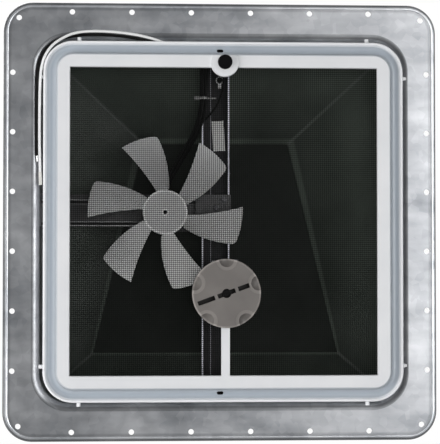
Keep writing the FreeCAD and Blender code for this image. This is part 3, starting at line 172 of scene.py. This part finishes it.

# Knob: painted highlight on its rim and pale outlines round its dips, painted shade dark in the depth of its dips
# and slots
KNOB_AXIS = (0.0042, 0.0755)
KNOB_FRONT = -0.036
KNOB_RADIUS = 0.0358
KNOB_RELIEF = 0.12
KNOB_RIM_HIGHLIGHT = [(0, 1.9), (0.0010, 1.7), (0.0022, 1.0), (0.03, 1.0)]
KNOB_DEPTH_LIGHT_AND_SHADE = [(0, 1.0), (0.0004, 1.0), (0.0006, 1.3), (0.0010, 1.3), (0.0014, 0.88), (0.0048, 0.80),
                     (0.0056, 0.2), (0.0068, 0.05), (0.02, 0.04)]

# Fan: painted shade dark in the shaft hole with a painted highlight round it, a dull face, and a painted highlight
# on the hub's rim
FAN_AXIS = (-0.059, -0.010)
HUB_LIGHT_AND_SHADE = [(0, 0.05), (0.0021, 0.06), (0.0025, 1.25), (0.0034, 1.2), (0.0040, 0.80), (0.0215, 0.80),
              (0.0221, 1.3), (0.0240, 1.3), (0.0245, 0.96), (0.085, 0.96)]

# Studio
FLOOR_DEPTH = 3.0
FLOOR_HALF = 4.0
FLOOR_LOW = (0.80, 0.80, 0.80)
FLOOR_HIGH = (0.84, 0.84, 0.84)
FLOOR_MARKS = 2.0
FLOOR_WEAR = 3.0
FLOOR_PALE = (0.86, 0.86, 0.86, 1)
FLOOR_SHARE = 0.5
WORLD_COLOUR = (0.92, 0.96, 1, 1)
WORLD_LIGHT = 0.14
WHITE = (1, 1, 1, 1)

# Lamps, as place, width and watts. All face the part's origin.
KEY_LAMP = ((-1.7, 0.35, -1.0), 1.6, 23)
FRONT_LAMP = ((0.1, 0.1, -2.4), 0.9, 23.5)
CARD_LAMP = ((1.75, -0.1, -2.4), 2.0, 140)
TOP_LAMP = ((-0.9, -1.0, 2.0), 1.6, 55)


def link(obj):
    scene.collection.objects.link(obj)
    return obj


class Graph:
    """Node tree of one material, with short calls for the few nodes that the finishes use."""

    def __init__(self, name):
        self.name = name
        self.material = bpy.data.materials.new(name)
        self.material.use_nodes = True
        self.tree = self.material.node_tree
        self.shader = self.tree.nodes["Principled BSDF"]
        self.place = self.tree.nodes.new("ShaderNodeTexCoord").outputs["Object"]

    def add(self, kind):
        return self.tree.nodes.new(kind)

    def join(self, source, target):
        self.tree.links.new(source, target)

    def set(self, **values):
        """Constant values on the shader's own sockets, named with _ for a space."""
        for name, value in values.items():
            self.shader.inputs[name.replace("_", " ")].default_value = value

    def stretched(self, scale):
        node = self.add("ShaderNodeMapping")
        self.join(self.place, node.inputs["Vector"])
        node.inputs["Scale"].default_value = scale
        return node.outputs["Vector"]

    def noise(self, scale, detail=PLAIN_DETAIL, stretch=None):
        node = self.add("ShaderNodeTexNoise")
        node.inputs["Scale"].default_value = scale
        node.inputs["Detail"].default_value = detail
        self.join(self.stretched(stretch) if stretch else self.place, node.inputs["Vector"])
        return node.outputs["Fac"]

    def cells(self, scale):
        """A random grey for each crystal or grain of the size 1 / scale."""
        node = self.add("ShaderNodeTexVoronoi")
        node.inputs["Scale"].default_value = scale
        self.join(self.place, node.inputs["Vector"])
        grey = self.add("ShaderNodeSeparateColor")
        self.join(node.outputs["Color"], grey.inputs["Color"])
        return grey.outputs["Red"]

    def blend(self, first, second, share):
        node = self.add("ShaderNodeMix")
        node.inputs["Factor"].default_value = share
        self.join(first, node.inputs["A"])
        self.join(second, node.inputs["B"])
        return node.outputs["Result"]

    def colours(self, factor, low, high, start=NOISE_LOW, stop=NOISE_HIGH):
        node = self.add("ShaderNodeValToRGB")
        self.join(factor, node.inputs["Fac"])
        for element, place, colour in zip(node.color_ramp.elements, (start, stop), (low, high)):
            element.position = place
            element.color = (*colour, 1.0)
        self.join(node.outputs["Color"], self.shader.inputs["Base Color"])

    def roughness(self, factor, low, high):
        node = self.add("ShaderNodeMapRange")
        self.join(factor, node.inputs["Value"])
        node.inputs["From Min"].default_value = NOISE_LOW
        node.inputs["From Max"].default_value = NOISE_HIGH
        node.inputs["To Min"].default_value = low
        node.inputs["To Max"].default_value = high
        self.join(node.outputs["Result"], self.shader.inputs["Roughness"])

    def bump(self, height, strength, depth):
        node = self.add("ShaderNodeBump")
        node.inputs["Strength"].default_value = strength
        node.inputs["Distance"].default_value = depth
        self.join(height, node.inputs["Height"])
        self.join(node.outputs["Normal"], self.shader.inputs["Normal"])

    def maths(self, operation, first, second):
        """Arithmetic on two values, each a socket or a number."""
        node = self.add("ShaderNodeMath")
        node.operation = operation
        for socket, value in zip(node.inputs, (first, second)):
            if isinstance(value, (int, float)):
                socket.default_value = value
            else:
                self.join(value, socket)
        return node.outputs["Value"]

    def axis(self, name):
        node = self.add("ShaderNodeSeparateXYZ")
        self.join(self.place, node.inputs["Vector"])
        return node.outputs[name]

    def distance(self, name, place):
        """Distance from a place along one axis, in metres."""
        return self.maths("ABSOLUTE", self.maths("SUBTRACT", self.axis(name), place), 0)

    def inset(self, half_x, half_y, corner, centre_x=0.0):
        """Distance in from the edge of a rounded rectangle about an upright axis, in metres."""
        past_x = self.maths("SUBTRACT", self.distance("X", centre_x), half_x - corner)
        past_y = self.maths("SUBTRACT", self.maths("ABSOLUTE", self.axis("Y"), 0), half_y - corner)
        out_x = self.maths("MAXIMUM", past_x, 0)
        out_y = self.maths("MAXIMUM", past_y, 0)
        square = self.maths("ADD", self.maths("MULTIPLY", out_x, out_x), self.maths("MULTIPLY", out_y, out_y))
        inner = self.maths("MINIMUM", self.maths("MAXIMUM", past_x, past_y), 0)
        return self.maths("SUBTRACT", corner, self.maths("ADD", self.maths("SQRT", square, 0), inner))

    def radius(self, centre):
        """Distance from an upright axis, in metres."""
        off_x = self.maths("SUBTRACT", self.axis("X"), centre[0])
        off_y = self.maths("SUBTRACT", self.axis("Y"), centre[1])
        square = self.maths("ADD", self.maths("MULTIPLY", off_x, off_x), self.maths("MULTIPLY", off_y, off_y))
        return self.maths("SQRT", square, 0)

    def profile(self, distance, stops):
        """Value that runs in straight lines along a distance, by stops of (metres, value)."""
        reach = stops[-1][0]
        node = self.add("ShaderNodeFloatCurve")
        line = node.mapping.curves[0]
        top = max(factor for _, factor in stops)
        line.points[0].location = (0, stops[0][1] / top)
        line.points[1].location = (1, stops[-1][1] / top)
        for place, factor in stops[1:-1]:
            line.points.new(place / reach, factor / top)
        for point in line.points:
            point.handle_type = "VECTOR"
        node.mapping.update()
        share = self.maths("DIVIDE", distance, reach)
        share.node.use_clamp = True
        self.join(share, node.inputs["Value"])
        return self.maths("MULTIPLY", node.outputs["Value"], top)

    def tint(self, share, colour):
        """Blend the base colour to another by a share from 0 to 1."""
        old = self.shader.inputs["Base Color"].links[0].from_socket
        node = self.add("ShaderNodeMix")
        node.data_type = "RGBA"
        first, second = [socket for socket in node.inputs if socket.type == "RGBA"]
        self.join(share, node.inputs["Factor"])
        self.join(old, first)
        second.default_value = (*colour, 1.0)
        mixed = next(socket for socket in node.outputs if socket.type == "RGBA")
        self.join(mixed, self.shader.inputs["Base Color"])

    def shade(self, distance, stops):
        """Darken or lighten the base colour along a distance, by stops of (metres, factor)."""
        factor = self.profile(distance, stops)
        old = self.shader.inputs["Base Color"].links[0].from_socket
        scaled = self.add("ShaderNodeVectorMath")
        scaled.operation = "SCALE"
        self.join(old, scaled.inputs[0])
        self.join(factor, scaled.inputs["Scale"])
        self.join(scaled.outputs["Vector"], self.shader.inputs["Base Color"])


def moulding(name, low, high, rough, grain=FINE_GRAIN, relief=GRAIN_RELIEF, gloss=USUAL_GLOSS):
    """Moulded plastic: faint flow marks in the colour and a fine spark-eroded grain."""
    g = Graph(name)
    g.colours(g.noise(FLOW_MARKS), low, high)
    g.roughness(g.noise(SATIN_MARKS), *rough)
    g.bump(g.noise(grain, GRAIN_DETAIL), relief, GRAIN_DEPTH)
    g.set(Specular_IOR_Level=gloss)
    return g


def sheet(name, low, high, rough, metallic=1.0, gloss=USUAL_GLOSS, rolled=ROLLED_ALONG_X):
    """Plated or painted sheet: fine rolling lines and a little unevenness."""
    g = Graph(name)
    streaks = g.noise(ROLLING_LINES, RICH_DETAIL, rolled)
    g.colours(g.blend(streaks, g.noise(SHEET_MARKS, RICH_DETAIL), SHEET_SHARE), low, high)
    g.roughness(g.noise(SHEET_WEAR), *rough)
    g.bump(streaks, ROLLING_RELIEF, ROLLING_DEPTH)
    g.set(Metallic=metallic, Specular_IOR_Level=gloss)
    return g


def galvanised():
    """Zinc coat: soft clouds and crystals, with a painted highlight on the flange's bead, painted shade beside it
    and where the bend starts, and painted light on the collar's wall.
    """
    g = Graph("galvanised_steel")
    streaks = g.noise(ZINC_STREAKS, STREAK_DETAIL, STREAK_STRETCH)
    clouds = g.blend(g.noise(ZINC_CLOUDS, RICH_DETAIL), streaks, STREAK_SHARE)
    tone = g.blend(clouds, g.cells(CRYSTALS), CRYSTAL_SHARE)
    g.colours(tone, (0.112, 0.118, 0.127), (0.265, 0.270, 0.279), *ZINC_RANGE)
    # painted highlight on the bead, painted shade on the turned edge and inside the bead
    g.shade(g.inset(*FLANGE_EDGE), BEAD_HIGHLIGHT_AND_SHADE)
    # painted shade where the bend starts, painted light on the collar's wall
    g.shade(g.maths("ADD", g.inset(*BEND_EDGE), BEND_MARGIN), BEND_SHADE_AND_LIGHT)
    g.roughness(g.noise(ZINC_WEAR, RICH_DETAIL), 0.36, 0.46)
    g.bump(g.noise(ZINC_GRAIN, GRAIN_DETAIL), 1.0, ZINC_DEPTH)
    g.set(Metallic=0.9)
    return g


def frame_plastic():
    """White moulding, pale on its ring, with a painted highlight on its lip and painted shade in the cove between
    them.
    """
    g = moulding("frame_plastic", (0.755, 0.762, 0.778), (0.81, 0.813, 0.825), (0.32, 0.44), gloss=0.25)
    # painted shade in the cove
    g.tint(g.profile(g.inset(*FRAME_EDGE), COVE_SHADE_SHARES), COVE_SHADE_COLOUR)
    # painted highlight on the lip
    g.shade(g.inset(*FRAME_EDGE), LIP_HIGHLIGHT)
    return g


def smoke_lid():
    """Dark smoke plastic with a soft moulded grain, with painted light and shade by height and painted highlights
    along its hips.
    """
    g = Graph("smoke_lid")
    g.colours(g.noise(LID_MARKS, RICH_DETAIL), (0.025, 0.030, 0.025), (0.039, 0.046, 0.039))
    height = g.maths("SUBTRACT", g.axis("Z"), LID_FOOT)
    # painted light low on the slopes, painted shade on the panel, painted highlight at its edge
    g.shade(height, LID_LIGHT_AND_SHADE)
    side = g.distance("X", LID_AXIS)
    gaps = []
    for place, normal in LID_HIPS:
        off_x = g.maths("MULTIPLY", g.maths("SUBTRACT", side, place[0]), normal[0])
        off_y = g.maths("MULTIPLY", g.maths("SUBTRACT", g.axis("Y"), place[1]), normal[1])
        gaps.append(g.maths("ABSOLUTE", g.maths("ADD", off_x, off_y), 0))
    # painted highlights along the hips, on the slopes only
    hips = g.profile(g.maths("MINIMUM", *gaps), HIP_HIGHLIGHT_SHARES)
    g.tint(g.maths("MULTIPLY", hips, g.profile(height, SLOPE_SHARES)), HIP_HIGHLIGHT_COLOUR)
    g.roughness(g.noise(LID_SATIN), 0.34, 0.48)
    g.bump(g.noise(COARSE_GRAIN, GRAIN_DETAIL), LID_RELIEF, GRAIN_DEPTH)
    g.set(Specular_IOR_Level=0.05)
    return g


def knob_plastic():
    """Warm grey moulding, with a painted highlight at its rim and painted shade in its slots."""
    g = moulding("knob_plastic", (0.155, 0.143, 0.134), (0.195, 0.180, 0.168), (0.42, 0.56), COARSE_GRAIN,
                 KNOB_RELIEF, 0.12)
    # painted highlight at the rim
    g.shade(g.maths("SUBTRACT", KNOB_RADIUS, g.radius(KNOB_AXIS)), KNOB_RIM_HIGHLIGHT)
    # painted shade deep in the dips and slots, pale outlines at their edges
    g.shade(g.maths("SUBTRACT", g.axis("Z"), KNOB_FRONT), KNOB_DEPTH_LIGHT_AND_SHADE)
    return g


def fan_plastic():
    """White moulding, with painted shade in the hub's shaft hole and painted highlights round it and on the hub's
    rim.
    """
    g = moulding("fan_plastic", (0.62, 0.62, 0.615), (0.70, 0.70, 0.695), (0.36, 0.50))
    # painted shade in the shaft hole, painted highlights round it and on the hub's rim
    g.shade(g.radius(FAN_AXIS), HUB_LIGHT_AND_SHADE)
    return g


def channel_edges():
    """Galvanised channel painted dark as shade, with painted highlights along its sheared front edges and its fold.
    """
    g = sheet("channel_edges", (0.012, 0.012, 0.013), (0.022, 0.022, 0.024), (0.34, 0.50), 0.1, 0.15)
    # painted highlights at the front edges and along the fold
    g.shade(g.maths("SUBTRACT", g.axis("Z"), CHANNEL_FRONT), EDGE_HIGHLIGHT)
    g.shade(g.distance("X", CHANNEL_FOLD), FOLD_HIGHLIGHT)
    return g


def arm_folds():
    """Dark galvanised hat section with pale lines along its folds."""
    g = sheet("arm_folds", (0.036, 0.036, 0.037), (0.062, 0.062, 0.064), (0.36, 0.52), 0.3, rolled=ROLLED_ALONG_Y)
    hat = g.profile(g.maths("MULTIPLY", g.axis("X"), -1), ARM_FLAT_END)
    folds = g.profile(g.distance("Y", ARM_MIDDLE), ARM_FOLDS)
    g.tint(g.maths("MULTIPLY", hat, folds), FOLD_COLOUR)
    return g


GRAPHS = [
    galvanised(),
    frame_plastic(),
    moulding("screen_mesh", (0.004, 0.0045, 0.004), (0.009, 0.0095, 0.009), (0.55, 0.70), gloss=0.03),
    moulding("black_rubber", (0.012, 0.012, 0.012), (0.024, 0.024, 0.024), (0.62, 0.80)),
    moulding("black_plastic", (0.003, 0.003, 0.0035), (0.006, 0.006, 0.007), (0.30, 0.42), gloss=0.02),
    sheet("bright_steel", (0.52, 0.52, 0.52), (0.72, 0.72, 0.71), (0.24, 0.38)),
    sheet("channel_steel", (0.05, 0.053, 0.06), (0.085, 0.09, 0.10), (0.36, 0.52), 0.7),
    channel_edges(),
    arm_folds(),
    # Black metal, also standing as painted shade on the shaft and retainer in the hub's hole
    sheet("blackened_and_hole_shade", (0.004, 0.004, 0.004), (0.008, 0.008, 0.0085), (0.34, 0.48), 0.1, 0.04),
    sheet("motor_steel", (0.05, 0.05, 0.055), (0.10, 0.10, 0.105), (0.32, 0.46), 0.8),
    sheet("bronze", (0.42, 0.29, 0.15), (0.58, 0.42, 0.24), (0.34, 0.48)),
    sheet("magnet_iron", (0.07, 0.07, 0.07), (0.13, 0.13, 0.13), (0.50, 0.66), 0.6),
    fan_plastic(),
    knob_plastic(),
    moulding("gear_plastic", (0.66, 0.64, 0.58), (0.74, 0.72, 0.66), (0.40, 0.52)),
    smoke_lid(),
    moulding("black_sleeve", (0.003, 0.003, 0.003), (0.006, 0.006, 0.006), (0.42, 0.56), gloss=0.06),
    moulding("white_sleeve", (0.84, 0.84, 0.835), (0.89, 0.89, 0.885), (0.36, 0.50)),
    moulding("tie_nylon", (0.62, 0.61, 0.57), (0.72, 0.71, 0.67), (0.38, 0.52)),
    moulding("tie_aged", (0.18, 0.18, 0.176), (0.26, 0.26, 0.253), (0.40, 0.55)),
    sheet("tinned", (0.55, 0.55, 0.54), (0.72, 0.72, 0.71), (0.34, 0.46), 0.3),
    moulding("tag_paper", (0.70, 0.70, 0.68), (0.78, 0.78, 0.76), (0.60, 0.75), PAPER_GRAIN),
]
FINISHES = {graph.name: graph.material for graph in GRAPHS}


def dress(obj, finish):
    """Give a piece one of the finishes as its only material."""
    obj.data.materials.clear()
    obj.data.materials.append(FINISHES[finish])


# Pieces whose finish is a variant of their slot's. The motor shaft and the fan's retainer are black as painted shade
# in the hub's shaft hole.
VARIANTS = {"screen_frame": "frame_plastic", "cross_channel": "channel_edges", "cable_tie": "tie_aged",
            "ground_screw": "blackened_and_hole_shade", "knob_screw": "blackened_and_hole_shade", "ring_terminal": "tinned",
            "fan_retainer": "blackened_and_hole_shade", "motor_shaft": "blackened_and_hole_shade", "motor_arm": "arm_folds"}
for part in frame["record"]["subparts"]:
    dress(frame["nodes"][part["node"]], VARIANTS.get(part["node"], part["material_slot"]))


def aim_camera():
    """Camera that keeps the picture's up along -Y."""
    camera = bpy.data.cameras.new("camera")
    sight = Vector(CAMERA_AIM) - Vector(CAMERA_PLACE)
    camera.sensor_fit = "HORIZONTAL"
    camera.sensor_width = SENSOR_MM
    camera.lens = sight.length * SENSOR_MM / PICTURE_WIDTH
    back = -sight.normalized()
    right = Vector((0, -1, 0)).cross(back).normalized()
    turn = Matrix((right, back.cross(right), back)).transposed()
    holder = link(bpy.data.objects.new("camera", camera))
    holder.location = CAMERA_PLACE
    holder.rotation_euler = turn.to_euler()
    scene.camera = holder


aim_camera()


def route_curve(name, points, radius):
    """Smooth cord: one spline with the route's points as its control points."""
    curve = bpy.data.curves.new(name, "CURVE")
    curve.dimensions = "3D"
    curve.bevel_depth = radius
    curve.bevel_resolution = CORD_ROUNDNESS
    curve.resolution_u = CORD_STEPS
    curve.use_fill_caps = radius > 0
    spline = curve.splines.new("NURBS")
    spline.points.add(len(points) - 1)
    for point, place in zip(spline.points, points):
        point.co = (*place, 1.0)
    spline.order_u = CORD_ORDER
    spline.use_endpoint_u = True
    return link(bpy.data.objects.new(name, curve))


def millimetres(points):
    """Points given in millimetres, as vectors in metres."""
    return [Vector(p) / 1000 for p in points]


def lay_cord(name, node, slot, points, radius):
    """Cord that stands for a node of the solids, whose own piece it hides."""
    route = millimetres(points)
    cord = route_curve(name, route, radius)
    dress(cord, slot)
    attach(cord, "base")
    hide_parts(node)


WHITE_ROUTE = [
    (-34, -189.4, 15.2),
    (-42, -189.4, 15.2),
    (-50.5, -189.5, 9.8),
    (-60, -190.2, 3.0),
    (-72, -193.8, -1.5),
    (-88, -197.6, -2.3),
    (-107, -200.2, -2.4),
    (-126, -201.3, -2.7),
    (-144, -200.9, -3.7),
    (-157, -198.4, -4.9),
    (-168, -193.2, -5.3),
    (-177.8, -186.4, -5.0),
    (-184.9, -177.4, -4.2),
    (-189.3, -166.0, -3.0),
    (-191.0, -152.0, -2.3),
    (-191.5, -132.0, -2.2),
    (-191.7, -108.0, -2.2),
    (-191.6, -86.0, -2.2),
    (-191.3, -68.0, -2.2),
    (-190.8, -52.0, -2.2),
]
BLACK_ROUTE = [
    (-34, -184.8, 15.8),
    (-43, -184.8, 15.8),
    (-53, -188.9, 14.6),
    (-62, -189.7, 9.0),
    (-72, -190.6, 3.4),
    (-86, -193.4, -0.9),
    (-106, -196.4, -1.7),
    (-128, -197.8, -1.9),
    (-147, -197.2, -1.8),
    (-162, -195.0, -1.7),
    (-176.5, -190.6, -1.5),
    (-186.6, -181.4, -1.4),
    (-192.2, -169.5, -1.0),
    (-194.4, -155.0, -0.8),
    (-194.9, -137.0, -0.8),
    (-194.9, -116.0, -0.8),
    (-194.8, -97.0, -0.8),
    (-194.6, -81.0, -0.8),
    (-194.3, -69.0, -0.8),
]
MOTOR_CABLE_ROUTE = [
    (-17.6, -175.0, 19.0),
    (-17.6, -163.5, 19.0),
    (-17.2, -147, 22.2),
    (-18.0, -120, 24.0),
    (-25.1, -98, 27.5),
    (-36.2, -78.5, 35.0),
    (-46.8, -60.6, 42.5),
    (-55.0, -46, 47.2),
    (-59, -33.5, 48.0),
]
SWITCH_LEAD_ROUTE = [
    (3.5, -158.5, 8.4),
    (3.4, -150, 14.2),
    (2.2, -139, 21),
    (-3.6, -124.5, 24.5),
    (-11.0, -115.5, 26.4),
    (-15.6, -110.4, 28.2),
]

lay_cord("white_supply_lead", "white_lead", "white_sleeve", WHITE_ROUTE, LEAD_RADIUS)
lay_cord("black_supply_lead", "black_lead", "black_sleeve", BLACK_ROUTE, LEAD_RADIUS)
lay_cord("switch_wire", "switch_lead", "black_sleeve", SWITCH_LEAD_ROUTE, SWITCH_LEAD_RADIUS)


def line_of(points):
    """Points along a route's own smooth line."""
    guide = route_curve("guide", points, 0.0)
    mesh = bpy.data.meshes.new_from_object(guide)
    line = [v.co.copy() for v in mesh.vertices]
    bpy.data.objects.remove(guide)
    bpy.data.meshes.remove(mesh)
    return line


def cable_bundle():
    """Motor cable as a core wire with others laid round it in a slow twist."""
    lay_cord("motor_wire_core", "motor_cable", "black_sleeve", MOTOR_CABLE_ROUTE, STRAND_RADIUS)
    line = line_of(millimetres(MOTOR_CABLE_ROUTE))
    last = len(line) - 1
    for strand in range(STRAND_COUNT):
        course = []
        for i, point in enumerate(line):
            along = (line[min(i + 1, last)] - line[max(i - 1, 0)]).normalized()
            side = along.cross(Vector((0, 0, 1))).normalized()
            lift = side.cross(along)
            turn = 2 * math.pi * strand / STRAND_COUNT + STRAND_TWIST * i / last
            course.append(point + (side * math.cos(turn) + lift * math.sin(turn)) * STRAND_RING)
        wire = route_curve("motor_wire_" + str(strand + 1), course, STRAND_RADIUS)
        dress(wire, "black_sleeve")
        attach(wire, "base")


cable_bundle()


def kept_spans(place, low, high, holes):
    """Stretches of a straight wire outside round holes, given as (along, across, radius)."""
    spans = [(low, high)]
    for along, across, radius in holes:
        off = abs(place - across)
        if off < radius:
            half = math.sqrt(radius ** 2 - off ** 2)
            cut = []
            for start, stop in spans:
                if start < along - half:
                    cut.append((start, min(stop, along - half)))
                if stop > along + half:
                    cut.append((max(start, along + half), stop))
            spans = cut
    return spans


def screen_wires():
    """Insect screen as crossing wires between the frame's inner wall and the bead."""
    low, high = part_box("insect_screen")
    shaft_low, shaft_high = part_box("crank_shaft")
    nut_low, nut_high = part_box("switch_nut")
    shaft = (shaft_low + shaft_high) / 2
    nut = (nut_low + nut_high) / 2
    shaft_hole = (shaft_high.x - shaft_low.x) / 2 + HOLE_MARGIN
    turret_hole = (nut_high.x - nut_low.x) / 2 + TURRET_WALL + HOLE_MARGIN
    middle = (low.z + high.z) / 2
    verts = []
    faces = []

    def wire(start, stop, across_a, across_b):
        first = len(verts)
        for end in (start, stop):
            for k in range(WIRE_SIDES):
                turn = 2 * math.pi * k / WIRE_SIDES
                verts.append(end + (across_a * math.cos(turn) + across_b * math.sin(turn)) * WIRE_RADIUS)
        for k in range(WIRE_SIDES):
            after = (k + 1) % WIRE_SIDES
            faces.append((first + k, first + after, first + WIRE_SIDES + after, first + WIRE_SIDES + k))
        faces.append(tuple(first + k for k in reversed(range(WIRE_SIDES))))
        faces.append(tuple(first + WIRE_SIDES + k for k in range(WIRE_SIDES)))

    x_axis = Vector((1, 0, 0))
    y_axis = Vector((0, 1, 0))
    z_axis = Vector((0, 0, 1))
    count_x = int((high.x - low.x) / WIRE_PITCH)
    count_y = int((high.y - low.y) / WIRE_PITCH)
    for i in range(1, count_x):
        x = low.x + i * WIRE_PITCH
        z = middle - WIRE_RADIUS
        holes = [(shaft.y, shaft.x, shaft_hole), (nut.y, nut.x, turret_hole)]
        for start, stop in kept_spans(x, low.y, high.y, holes):
            wire(Vector((x, start, z)), Vector((x, stop, z)), z_axis, x_axis)
    for i in range(1, count_y):
        y = low.y + i * WIRE_PITCH
        z = middle + WIRE_RADIUS
        holes = [(shaft.x, shaft.y, shaft_hole), (nut.x, nut.y, turret_hole)]
        for start, stop in kept_spans(y, low.x, high.x, holes):
            wire(Vector((start, y, z)), Vector((stop, y, z)), y_axis, z_axis)
    mesh = bpy.data.meshes.new("screen_wires")
    mesh.from_pydata(verts, [], faces)
    screen = link(bpy.data.objects.new("screen_wires", mesh))
    dress(screen, "screen_mesh")
    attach(screen, "base")
    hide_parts("insect_screen")


screen_wires()


def flange_loop(inset):
    """Points along the flange's outline, moved in by a distance."""
    half_x, half_y, corner = FLANGE_EDGE
    loop = []
    for quarter, (side_x, side_y) in enumerate(((1, 1), (-1, 1), (-1, -1), (1, -1))):
        for k in range(CORNER_STEPS + 1):
            turn = math.pi / 2 * (quarter + k / CORNER_STEPS)
            loop.append((side_x * (half_x - corner) + (corner - inset) * math.cos(turn),
                         side_y * (half_y - corner) + (corner - inset) * math.sin(turn)))
    return loop


def flange_bead():
    """Half-round bead along the flange's underside, rooted in the sheet."""
    section = []
    for k in range(BEAD_STEPS + 1):
        turn = math.pi * k / BEAD_STEPS
        section.append((BEAD_INSET - BEAD_HALF * math.cos(turn), -BEAD_RISE * math.sin(turn)))
    section += [(BEAD_INSET + BEAD_HALF, BEAD_ROOT), (BEAD_INSET - BEAD_HALF, BEAD_ROOT)]
    verts = [(x, y, z) for inset, z in section for x, y in flange_loop(inset)]
    count = len(verts) // len(section)
    faces = []
    for i in range(len(section)):
        here = i * count
        there = (i + 1) % len(section) * count
        for k in range(count):
            after = (k + 1) % count
            faces.append((here + k, there + k, there + after, here + after))
    mesh = bpy.data.meshes.new("flange_bead")
    mesh.from_pydata(verts, [], faces)
    for face in mesh.polygons[:BEAD_STEPS * count]:
        face.use_smooth = True
    bead = link(bpy.data.objects.new("flange_bead", mesh))
    dress(bead, "galvanised_steel")
    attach(bead, "base")


flange_bead()


def area_light(name, place, size, power):
    """Round lamp that faces the part's origin."""
    lamp = bpy.data.lights.new(name, "AREA")
    lamp.shape = "DISK"
    lamp.size = size
    lamp.energy = power
    holder = link(bpy.data.objects.new(name, lamp))
    holder.location = place
    holder.rotation_euler = (-Vector(place)).to_track_quat("-Z", "Y").to_euler()
    return holder


def seen_ray(tree):
    """1 for a ray from the camera, a reflection or glass, and 0 for one that lights a surface."""
    path = tree.nodes.new("ShaderNodeLightPath")
    share = path.outputs["Is Camera Ray"]
    for other in ("Is Glossy Ray", "Is Transmission Ray"):
        either = tree.nodes.new("ShaderNodeMath")
        either.operation = "MAXIMUM"
        tree.links.new(share, either.inputs[0])
        tree.links.new(path.outputs[other], either.inputs[1])
        share = either.outputs["Value"]
    return share


def lay_floor():
    """Pale floor far below, which the camera and reflections see a little paler than it is lit."""
    mesh = bpy.data.meshes.new("floor")
    corners = [(-FLOOR_HALF, -FLOOR_HALF), (FLOOR_HALF, -FLOOR_HALF), (FLOOR_HALF, FLOOR_HALF),
               (-FLOOR_HALF, FLOOR_HALF)]
    mesh.from_pydata([(x, y, -FLOOR_DEPTH) for x, y in corners], [], [(0, 1, 2, 3)])
    floor = link(bpy.data.objects.new("floor", mesh))
    g = Graph("pale_floor")
    g.colours(g.noise(FLOOR_MARKS, GRAIN_DETAIL), FLOOR_LOW, FLOOR_HIGH)
    g.roughness(g.noise(FLOOR_WEAR, GRAIN_DETAIL), 0.7, 0.8)
    glow = g.add("ShaderNodeEmission")
    glow.inputs["Color"].default_value = FLOOR_PALE
    shown = g.add("ShaderNodeMixShader")
    g.join(g.maths("MULTIPLY", seen_ray(g.tree), FLOOR_SHARE), shown.inputs["Fac"])
    g.join(g.shader.outputs["BSDF"], shown.inputs[1])
    g.join(glow.outputs["Emission"], shown.inputs[2])
    g.join(shown.outputs["Shader"], g.tree.nodes["Material Output"].inputs["Surface"])
    mesh.materials.append(g.material)


def surround():
    """White surroundings that light the part only faintly."""
    world = bpy.data.worlds.new("surroundings")
    world.use_nodes = True
    scene.world = world
    tree = world.node_tree
    lit = tree.nodes["Background"]
    lit.inputs["Color"].default_value = WORLD_COLOUR
    lit.inputs["Strength"].default_value = WORLD_LIGHT
    seen = tree.nodes.new("ShaderNodeBackground")
    seen.inputs["Color"].default_value = WHITE
    seen.inputs["Strength"].default_value = 1.0
    mix = tree.nodes.new("ShaderNodeMixShader")
    tree.links.new(seen_ray(tree), mix.inputs["Fac"])
    tree.links.new(lit.outputs["Background"], mix.inputs[1])
    tree.links.new(seen.outputs["Background"], mix.inputs[2])
    tree.links.new(mix.outputs["Shader"], tree.nodes["World Output"].inputs["Surface"])


def hang_lamps():
    """Soft lamps below and above. The front one gives no highlights, and the card gives nothing else."""
    area_light("key", *KEY_LAMP)
    front = area_light("front", *FRONT_LAMP)
    front.visible_glossy = False
    card = area_light("card", *CARD_LAMP)
    card.visible_diffuse = False
    area_light("top", *TOP_LAMP)


lay_floor()
surround()
hang_lamps()
